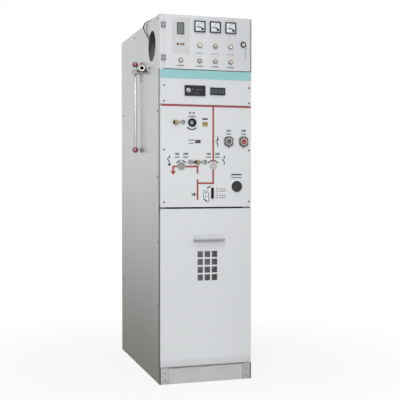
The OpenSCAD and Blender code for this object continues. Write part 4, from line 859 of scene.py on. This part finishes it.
class CUBICLE_OT_stage(bpy.types.Operator):
    """Camera as in the photograph, soft lamps, pale floor and white surroundings"""
    bl_idname = "cubicle.stage"
    bl_label = "Set the stage"

    def execute(self, context):
        scene = context.scene
        scene.view_settings.view_transform = "Standard"
        lens = bpy.data.cameras.new("camera")
        lens.sensor_width, lens.lens = 36.0, 74.75
        scene.camera = linked("camera", lens)
        scene.camera.location = (-1.286, -4.597, 1.049)
        scene.camera.rotation_euler = (pi / 2 - 0.023, 0.0, -0.295)
        for name, place, turn, size, power in (
                ("key_lamp", (-1.75, -4.7, 2.15), (1.47, 0.0, -0.33), 1.2, 63.0),
                ("left_lamp", (-1.3, -2.9, 4.3), (0.70, 0.0, -0.45), 1.8, 56.0),
                ("right_lamp", (3.4, -4.0, 2.2), (1.31, 0.0, 0.70), 3.0, 36.0),
                ("top_lamp", (0.0, 0.2, 4.6), (0.0, 0.0, 0.0), 3.0, 44.0)):
            glow = bpy.data.lights.new(name, "AREA")
            glow.size, glow.energy = size, power
            lamp = linked(name, glow)
            lamp.location, lamp.rotation_euler = place, turn
        self.surround(scene)
        self.floor()
        return {"FINISHED"}

    def surround(self, scene):
        """White to look at, softer as a light."""
        scene.world = scene.world or bpy.data.worlds.new("surround")
        scene.world.use_nodes = True
        scene.world.node_tree.nodes.clear()
        sky = Nodes(scene.world.node_tree)
        light = sky.node("ShaderNodeBackground", sockets={"Color": (0.98, 0.99, 1.0, 1.0), "Strength": 0.345})
        white = sky.node("ShaderNodeBackground", sockets={"Color": (1.0, 1.0, 1.0, 1.0), "Strength": 1.0})
        both = sky.node("ShaderNodeMixShader", sockets={0: sky.shown(), 1: light, 2: white})
        sky.join(sky.tree.nodes.new("ShaderNodeOutputWorld").inputs["Surface"], both)

    def floor(self):
        """Wide pale floor: white to look at, with the shadow kept near and under the cubicle."""
        side = np.linspace(-9.0, 9.0, 7)
        x, y = np.meshgrid(side, side, indexing="ij")
        points = np.stack([x, y, np.zeros_like(x)], -1).reshape(-1, 3)
        mesh = bpy.data.meshes.new("floor")
        mesh.from_pydata(points.tolist(), [], grid_quads(7, 7, ring=False).tolist())
        p = Paint("pale_floor")
        x, y, _ = p.axes()
        speck = p.noise(3.0)
        p.colour(p.mix(speck + 0.5, shade(214, 214, 214), shade(222, 222, 222)))
        p.done(0.85 + speck * 0.1)
        far = p.ramp((x * x + y * y) ** 0.5, 0.55, 1.9)
        under = (x * x < SIDE ** 2) * (y * y < TOE ** 2)
        white = p.node("ShaderNodeEmission")
        both = p.node("ShaderNodeMixShader", sockets={
            0: p.shown() * (0.86 + far * 0.14) * (1.0 - under), 1: Flow(p, p.shader.outputs[0]), 2: white})
        p.join(p.tree.nodes["Material Output"].inputs["Surface"], both)
        mesh.materials.append(p.material)
        floor = linked("floor", mesh)


class CUBICLE_OT_control_wire(bpy.types.Operator):
    """Black wire from the roof gland over the roof edge and in through the side port"""
    bl_idname = "cubicle.control_wire"
    bl_label = "Lay the control wire"

    def execute(self, context):
        width = context.scene.cubicle_sizes.wire
        route = np.array([
            (-195, -320, 1901), (-195, -320, 1912), (-198, -309, 1923), (-211, -283.9, 1924), (-226.9, -254.1, 1916.1),
            (-241.2, -224.2, 1909), (-251.1, -192, 1906.5), (-257.5, -170.9, 1897.9), (-259.5, -163, 1884),
            (-257.5, -171.9, 1865.9), (-255.5, -196, 1847), (-255, -224.1, 1829), (-255, -249, 1813),
            (-249.1, -261, 1802), (-238, -267.1, 1790), (-224, -268.9, 1774), (-213.1, -268.9, 1751),
            (-207, -268, 1720), (-205, -268, 1681), (-205, -268, 1643.5), (-205, -268, 1622)]) * MM
        path = smooth_route(route)
        wire = piece("control_wire_sheath", tube(path, width / 2), "wire_black")
        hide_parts("control_wire")
        length = float(np.linalg.norm(np.diff(path, axis=0), axis=1).sum())
        return {"FINISHED"}


class CUBICLE_OT_finishes(bpy.types.Operator):
    """Finish of every piece of the cabinet, by its material slot or by its own name"""
    bl_idname = "cubicle.finishes"
    bl_label = "Finish the cabinet"

    def execute(self, context):
        for part in frame["record"]["subparts"]:
            node = frame["nodes"][part["node"]]
            name = part["node"] if part["node"] in FINISHES else part["material_slot"]
            if not node.material_slots:
                node.data.materials.append(None)
            for holder in node.material_slots:
                holder.material = finish(name)
        return {"FINISHED"}


class CUBICLE_OT_screws(bpy.types.Operator):
    """Screws of the panels, sheets, roof, hinges and bracket, and rivets of the base"""
    bl_idname = "cubicle.screws"
    bl_label = "Drive the screws"

    def execute(self, context):
        sizes = context.scene.cubicle_sizes
        for name, x, kind in (("left_panel_screws", -227, "screw_dark"), ("right_panel_screws", 234, "screw_black")):
            heads(name, front_places([(x, z) for z in (1537, 1457, 1209, 940)]), sizes.screw, FRONTWARD, kind)
        sheet = np.array([(-438, 1882), (110, 1872), (-434, 1408), (-434, 1069), (-434, 733), (-434, 403),
                          (428, 1447), (428, 447), (153, 20)]) * MM
        left = np.column_stack([np.full(len(sheet), -SIDE), sheet])
        rear = [(x, BACK, z) for x in (-0.232, 0.0, 0.232) for z in (0.105, 0.5, 0.895, 0.935, 1.4, 1.88)]
        top = [(x, y, ROOF) for x in (-0.22, 0.22) for y in (-0.43, 0.45)]
        for name, places, toward in (("left_sheet_screws", left, LEFTWARD),
                                     ("right_sheet_screws", left * [-1, 1, 1], RIGHTWARD),
                                     ("rear_sheet_screws", rear, BACKWARD), ("roof_screws", top, UPWARD)):
            heads(name, places, sizes.side_screw, toward, "screw_zinc")
        base = front_places([(-222, 58), (-222, 22), (222, 58), (222, 22)], TOE)
        piece("base_rivets", repeated(screw_head(sizes.rivet, FRONTWARD, groove=0.0), base), "rivet")
        edge, half_leaf, half_pitch = 0.0038, 0.016, 0.009  # of a hinge leaf and its two screws
        leaf_thick, hinge_head = 0.0025, 0.0055
        for name, node, body in (("hinge_frame_screws", "hinge_frame_leaves", "cabinet"),
                                 ("hinge_door_screws", "hinge_door_leaves", "instrument_door")):
            low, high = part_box(node)
            x = low[0] + edge if body == "cabinet" else high[0] - edge
            spots = [(x, FACE - leaf_thick, z + s * half_pitch)
                     for z in (low[2] + half_leaf, high[2] - half_leaf) for s in (-1, 1)]
            heads(name, spots, hinge_head, FRONTWARD, "screw_dark", body)
        low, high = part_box("lever_bracket")
        bracket_thick, above, inward, bracket_head = 0.002, 0.016, 0.018, 0.012
        spots = [(high[0] - bracket_thick, y, low[2] + above) for y in (low[1] + inward, high[1] - inward)]
        heads("bracket_screws", spots, bracket_head, LEFTWARD, "lever_bracket")
        return {"FINISHED"}


class CUBICLE_OT_meter_scales(bpy.types.Operator):
    """Scale, needle, pivot cover, figures and terminals of each panel meter"""
    bl_idname = "cubicle.meter_scales"
    bl_label = "Print the meters"

    def execute(self, context):
        z0 = middle("meter_cases")[2] / MM
        sweep, inner, figure_ring = (92, 176), 21, 17  # the scale's ends in degrees, its radius, the figures' radius
        fine, needle, figures, boss, posts = [], [], [], [], []
        for x in np.array(METERS) / MM:
            px, pz = x + PIVOT_X / MM, z0 + PIVOT_Z / MM
            fine.append(stroke(arc(px, pz, inner, *sweep), 0.6 * MM, DIAL))
            for k, angle in enumerate(np.linspace(*sweep, 11)):
                tip, width = (25, 1.0) if k % 5 == 0 else (23, 0.6)
                ends = [arc(px, pz, radius, angle, angle, 1)[0] for radius in (inner, tip)]
                fine.append(stroke(ends, width * MM, DIAL))
            for text, angle in (("0", 162), ("5", 134), ("10", 104)):
                at = arc(px, pz, figure_ring, angle, angle, 1)[0]
                figures.append((text, *at, 3.0))
            needle.append(stroke([(px, pz), (px - 12, pz + 0.4), (px - 28, pz + 1)],
                                 np.array([6.5, 4.6, 3.2]) * MM, DIAL - 0.8 * MM))
            boss.append((x + 14, z0 - 13))
            posts += [(x + s * 12, z0 - 6) for s in (-1, 1)]
        cover = turned([0, 4.0, 6.2, 6.8, 6.8, 0], [2.6, 2.5, 1.9, 0.9, 0, 0], FRONTWARD)
        printed("meter_scales", together(fine), "instrument_door")
        printed("meter_figures", lettering(figures, DIAL), "instrument_door")
        printed("meter_needles", together(needle), "instrument_door")
        piece("meter_pivots", repeated(cover, front_places(boss, DIAL)), "black_plastic",
              "instrument_door")
        post = turned([0, 2.5, 2.5, 5, 5, 0], [9, 9, 4, 4, 0, 0], BACKWARD, 24)
        piece("meter_terminals", repeated(post, front_places(posts, DRUM)), "brass", "instrument_door")
        return {"FINISHED"}


class CUBICLE_OT_legend_plates(bpy.types.Operator):
    """Bare legend plates of the lamps and the lock on the door, and the label plate of the display"""
    bl_idname = "cubicle.legend_plates"
    bl_label = "Fix the door's legend plates"

    def execute(self, context):
        plates("upper_lamp_legends", [(x, 1708, 40, 6) for x in (-37, 47, 131)], "legend_pale", "instrument_door")
        plates("lower_lamp_legends", [(x, 1641, 40, 6) for x in (-139, -37, 47, 131)], "legend", "instrument_door")
        plates("lock_legend", [(215, 1718, 7, 56)], "legend_pale", "instrument_door")
        plates("display_label", [(-136, 1794, 92, 182)], "label", "instrument_door", 4.0)
        return {"FINISHED"}


class CUBICLE_OT_indicator_marks(bpy.types.Operator):
    """Signal dots of the display label, lamps and marks of the fault indicator, and digits of the counter"""
    bl_idname = "cubicle.indicator_marks"
    bl_label = "Mark the indicators"

    def execute(self, context):
        top = FACE - context.scene.cubicle_sizes.plate
        dome = turned([0, 3.4, 5.4, 6.4, 6.4, 0], [1.6, 1.4, 0.9, 0.2, 0, 0], FRONTWARD)
        for name, x in (("led_red", -154), ("led_amber", -139), ("led_green", -125)):
            shape = repeated(dome, front_places([(x, 1750)], top))
            piece("display_" + name, shape, name, "instrument_door")
        small = turned([0, 1.3, 2.1, 2.5, 2.5, 0], [1.2, 1.1, 0.7, 0.2, 0, 0], FRONTWARD)
        spots = [(-76, 1520), (-55, 1520), (-45, 1520), (-35, 1520)]
        piece("fault_lamps", repeated(small, front_places(spots, SCREEN)), "legend")
        rows = [[(x - 4, 1502), (x + 4, 1502)] for x in (-67, -56, -46)]
        piece("fault_marks", lines(rows, 1.6 * MM, SCREEN), "legend")
        x, _, z = (c / MM for c in middle("operation_counter"))
        digits = [("0", x + 5 * k, z, 5.2) for k in range(-2, 3)]
        piece("counter_digits", lettering(digits, COUNTER + 1.0 * MM), "pale_ink")
        return {"FINISHED"}


class CUBICLE_OT_panel_marks(bpy.types.Operator):
    """Symbols, ticks, turning arrow, lever picture, latch marks and legend plates of the mechanism panel"""
    bl_idname = "cubicle.panel_marks"
    bl_label = "Print the panel"

    def execute(self, context):
        wide = context.scene.cubicle_sizes.line
        ticks = [[(-161, 1142), (-142, 1155)], [(-130, 1155), (-110, 1143)], [(9, 1143), (30, 1157)],
                 [(43, 1156), (64, 1142)]]
        printed("position_ticks", lines(ticks, 6.0 * MM))
        earth = [[(-199, 1181), (-199, 1168)], [(-211, 1164), (-199, 1148), (-199, 1134)],
                 [(-207, 1134), (-191, 1134)], [(-204, 1130.5), (-194, 1130.5)], [(-201, 1127), (-197, 1127)],
                 [(-203, 1168), (-195, 1168)]]
        feeder = [[(97.5, 1181), (97.5, 1168)], [(93.5, 1168), (101.5, 1168)],
                  [(86, 1164), (97.5, 1148), (97.5, 1132)]]
        breaker = [[(61.5, 1280), (61.5, 1262)], [(57, 1257.5), (66, 1266.5)], [(57, 1266.5), (66, 1257.5)],
                   [(50, 1257), (61.5, 1243), (61.5, 1226)]]
        probe = [[(-81, 987), (-63, 971)], [(-81, 971), (-63, 987)], [(-62, 979), (-54.5, 979)]]
        arrow = stroke([(-61.5, 979), (-72, 979)], np.array([17.0, 1.0]) * MM)
        grip = [[(-13, 1001), (4, 993.5), (11.5, 986), (12, 944.5), (9, 938.5), (2.5, 942.5), (-13, 954), (-17, 969.5),
                 (-17.5, 986.5), (-13, 1001)], [(-11, 989), (-5.5, 984), (4, 993.5)]]
        dash = [[(-13, 954), (2.5, 942.5)], [(3, 1010), (22, 1021)], [(-7.5, 968.5), (-1.5, 968.5)]]
        symbols = lines(earth + feeder + breaker, wide)
        printed("switch_symbols", together([symbols, lines(probe, wide * 0.7), arrow]))
        printed("lever_picture", together([lines(grip, wide * 0.5), lines(dash, wide * 1.2)]))
        spot = turned([0, 3.0, 4.4, 5.0, 5.0, 0], [1.0, 0.9, 0.6, 0.2, 0, 0], FRONTWARD)
        piece("probe_spot", repeated(spot, front_places([(-89, 981)])), "pale_bezel")
        x, _, z = (c / MM for c in middle("charging_socket"))
        sweep = np.concatenate([arc(x, z, 36, 312, 236), arc(x, z, 36, 235, 221, 6)])
        broad = np.concatenate([np.full(24, 5.5), np.linspace(12.0, 0.5, 6)]) * MM
        printed("turning_arrow", stroke(sweep, broad))
        brackets = [[(52, 1012), (60, 1012), (60, 992), (52, 992)], [(52, 981), (60, 981), (60, 960), (52, 960)]]
        texts = [[(70, z), (106, z)] for z in (1006, 995, 974, 963)]
        piece("latch_brackets", lines(brackets, wide * 0.5), "legend_dark")
        piece("latch_legends", lines(texts, 4.0 * MM), "legend")
        bold = [(-88, 1399, 10, 9), (-69, 1399, 10, 9), (-78, 1382, 40, 5), (164, 1082, 58, 8), (164, 1067, 62, 4)]
        plates("flag_legend", [(-8, 1369, 30, 8)], "ink")
        plates("dark_legends", bold + [(x, z, 27, 5) for x, z in CAPTIONS], "legend_dark")
        plates("panel_legends", [(-82, 1259, 28, 7), (-82, 1243, 28, 5)], "legend")
        return {"FINISHED"}


class CUBICLE_OT_lettering(bpy.types.Operator):
    """ON and OFF at the two switches and the two push buttons"""
    bl_idname = "cubicle.lettering"
    bl_label = "Letter the switches"

    def execute(self, context):
        high, above = context.scene.cubicle_sizes.letter / MM, 16
        words = [(text, x, z + above, high) for text, (x, z) in zip(("ON", "OFF") * 3, CAPTIONS)]
        printed("switch_lettering", lettering(words, bold=0.07))
        return {"FINISHED"}


class CUBICLE_OT_door_seal(bpy.types.Operator):
    """Rubber seal round the instrument compartment: a half round strip along a rounded rectangle"""
    bl_idname = "cubicle.door_seal"
    bl_label = "Fit the door seal"

    def execute(self, context):
        thick = context.scene.cubicle_sizes.seal
        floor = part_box("instrument_floor")[0][2]
        inset, half_x = 0.010, 0.226
        middle_z, half_z = (floor + ROOF) / 2, (ROOF - floor) / 2 - inset
        across, up = squircle(160, 14)[..., None]
        turn = np.linspace(0, pi, 9)[None]
        out, rise = np.cos(turn) * thick, np.sin(turn) * thick
        x, z = across * (half_x + out), middle_z + up * (half_z + out)
        rows = np.stack(np.broadcast_arrays(x, LIP - rise, z), -1)
        piece("door_seal", skin(np.concatenate([rows, rows[:1]])), "rubber")
        return {"FINISHED"}


class CUBICLE_OT_door_edging(bpy.types.Operator):
    """Pale edging in the gaps at both sides of the door: rounded bars on the hinge stile and on the right side sheet"""
    bl_idname = "cubicle.door_edging"
    bl_label = "Edge the door opening"

    def execute(self, context):
        stile, (low, high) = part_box("hinge_stile")[1][0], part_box("instrument_door")
        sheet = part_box("right_side_panel")[0][0]
        set_back, deep = 0.0006, 0.010
        across, up = squircle(24, 6)
        y = FACE + set_back + deep / 2 + up * deep / 2
        levels = np.array([low[2], high[2]])[:, None]
        for name, left, right in (("hinge_strip", stile, stile * 0.2 + low[0] * 0.8),
                                  ("lock_strip", sheet * 0.65 + high[0] * 0.35, sheet)):
            x = (left + right) / 2 + across * (right - left) / 2
            piece(name, closed(np.stack(np.broadcast_arrays(x, y, levels), -1)), "pale_bezel")
        return {"FINISHED"}


class CUBICLE_PT_dressing(bpy.types.Panel):
    """Lists the steps that dress the cubicle"""
    bl_idname = "CUBICLE_PT_dressing"
    bl_label = "Ring main unit"
    bl_space_type = "VIEW_3D"
    bl_region_type = "UI"
    bl_category = "Cubicle"

    def draw(self, context):
        for group in (context.scene.cubicle_colours, context.scene.cubicle_sizes):
            for name in group.__annotations__:
                self.layout.prop(group, name)
        for step in STEPS:
            self.layout.operator(step.bl_idname)


STEPS = (CUBICLE_OT_stage, CUBICLE_OT_control_wire, CUBICLE_OT_finishes, CUBICLE_OT_screws, CUBICLE_OT_meter_scales,
         CUBICLE_OT_legend_plates, CUBICLE_OT_indicator_marks, CUBICLE_OT_panel_marks, CUBICLE_OT_lettering,
         CUBICLE_OT_door_seal, CUBICLE_OT_door_edging)
CLASSES = (CubicleColours, CubicleSizes) + STEPS + (CUBICLE_PT_dressing,)


def register():
    for kind in CLASSES:
        bpy.utils.register_class(kind)
    bpy.types.Scene.cubicle_colours = bpy.props.PointerProperty(type=CubicleColours)
    bpy.types.Scene.cubicle_sizes = bpy.props.PointerProperty(type=CubicleSizes)


def unregister():
    del bpy.types.Scene.cubicle_colours
    del bpy.types.Scene.cubicle_sizes
    for kind in reversed(CLASSES):
        bpy.utils.unregister_class(kind)


def main():
    register()
    for step in STEPS:
        family, name = step.bl_idname.split(".")
        getattr(getattr(bpy.ops, family), name)()


if __name__ == "__main__":
    main()
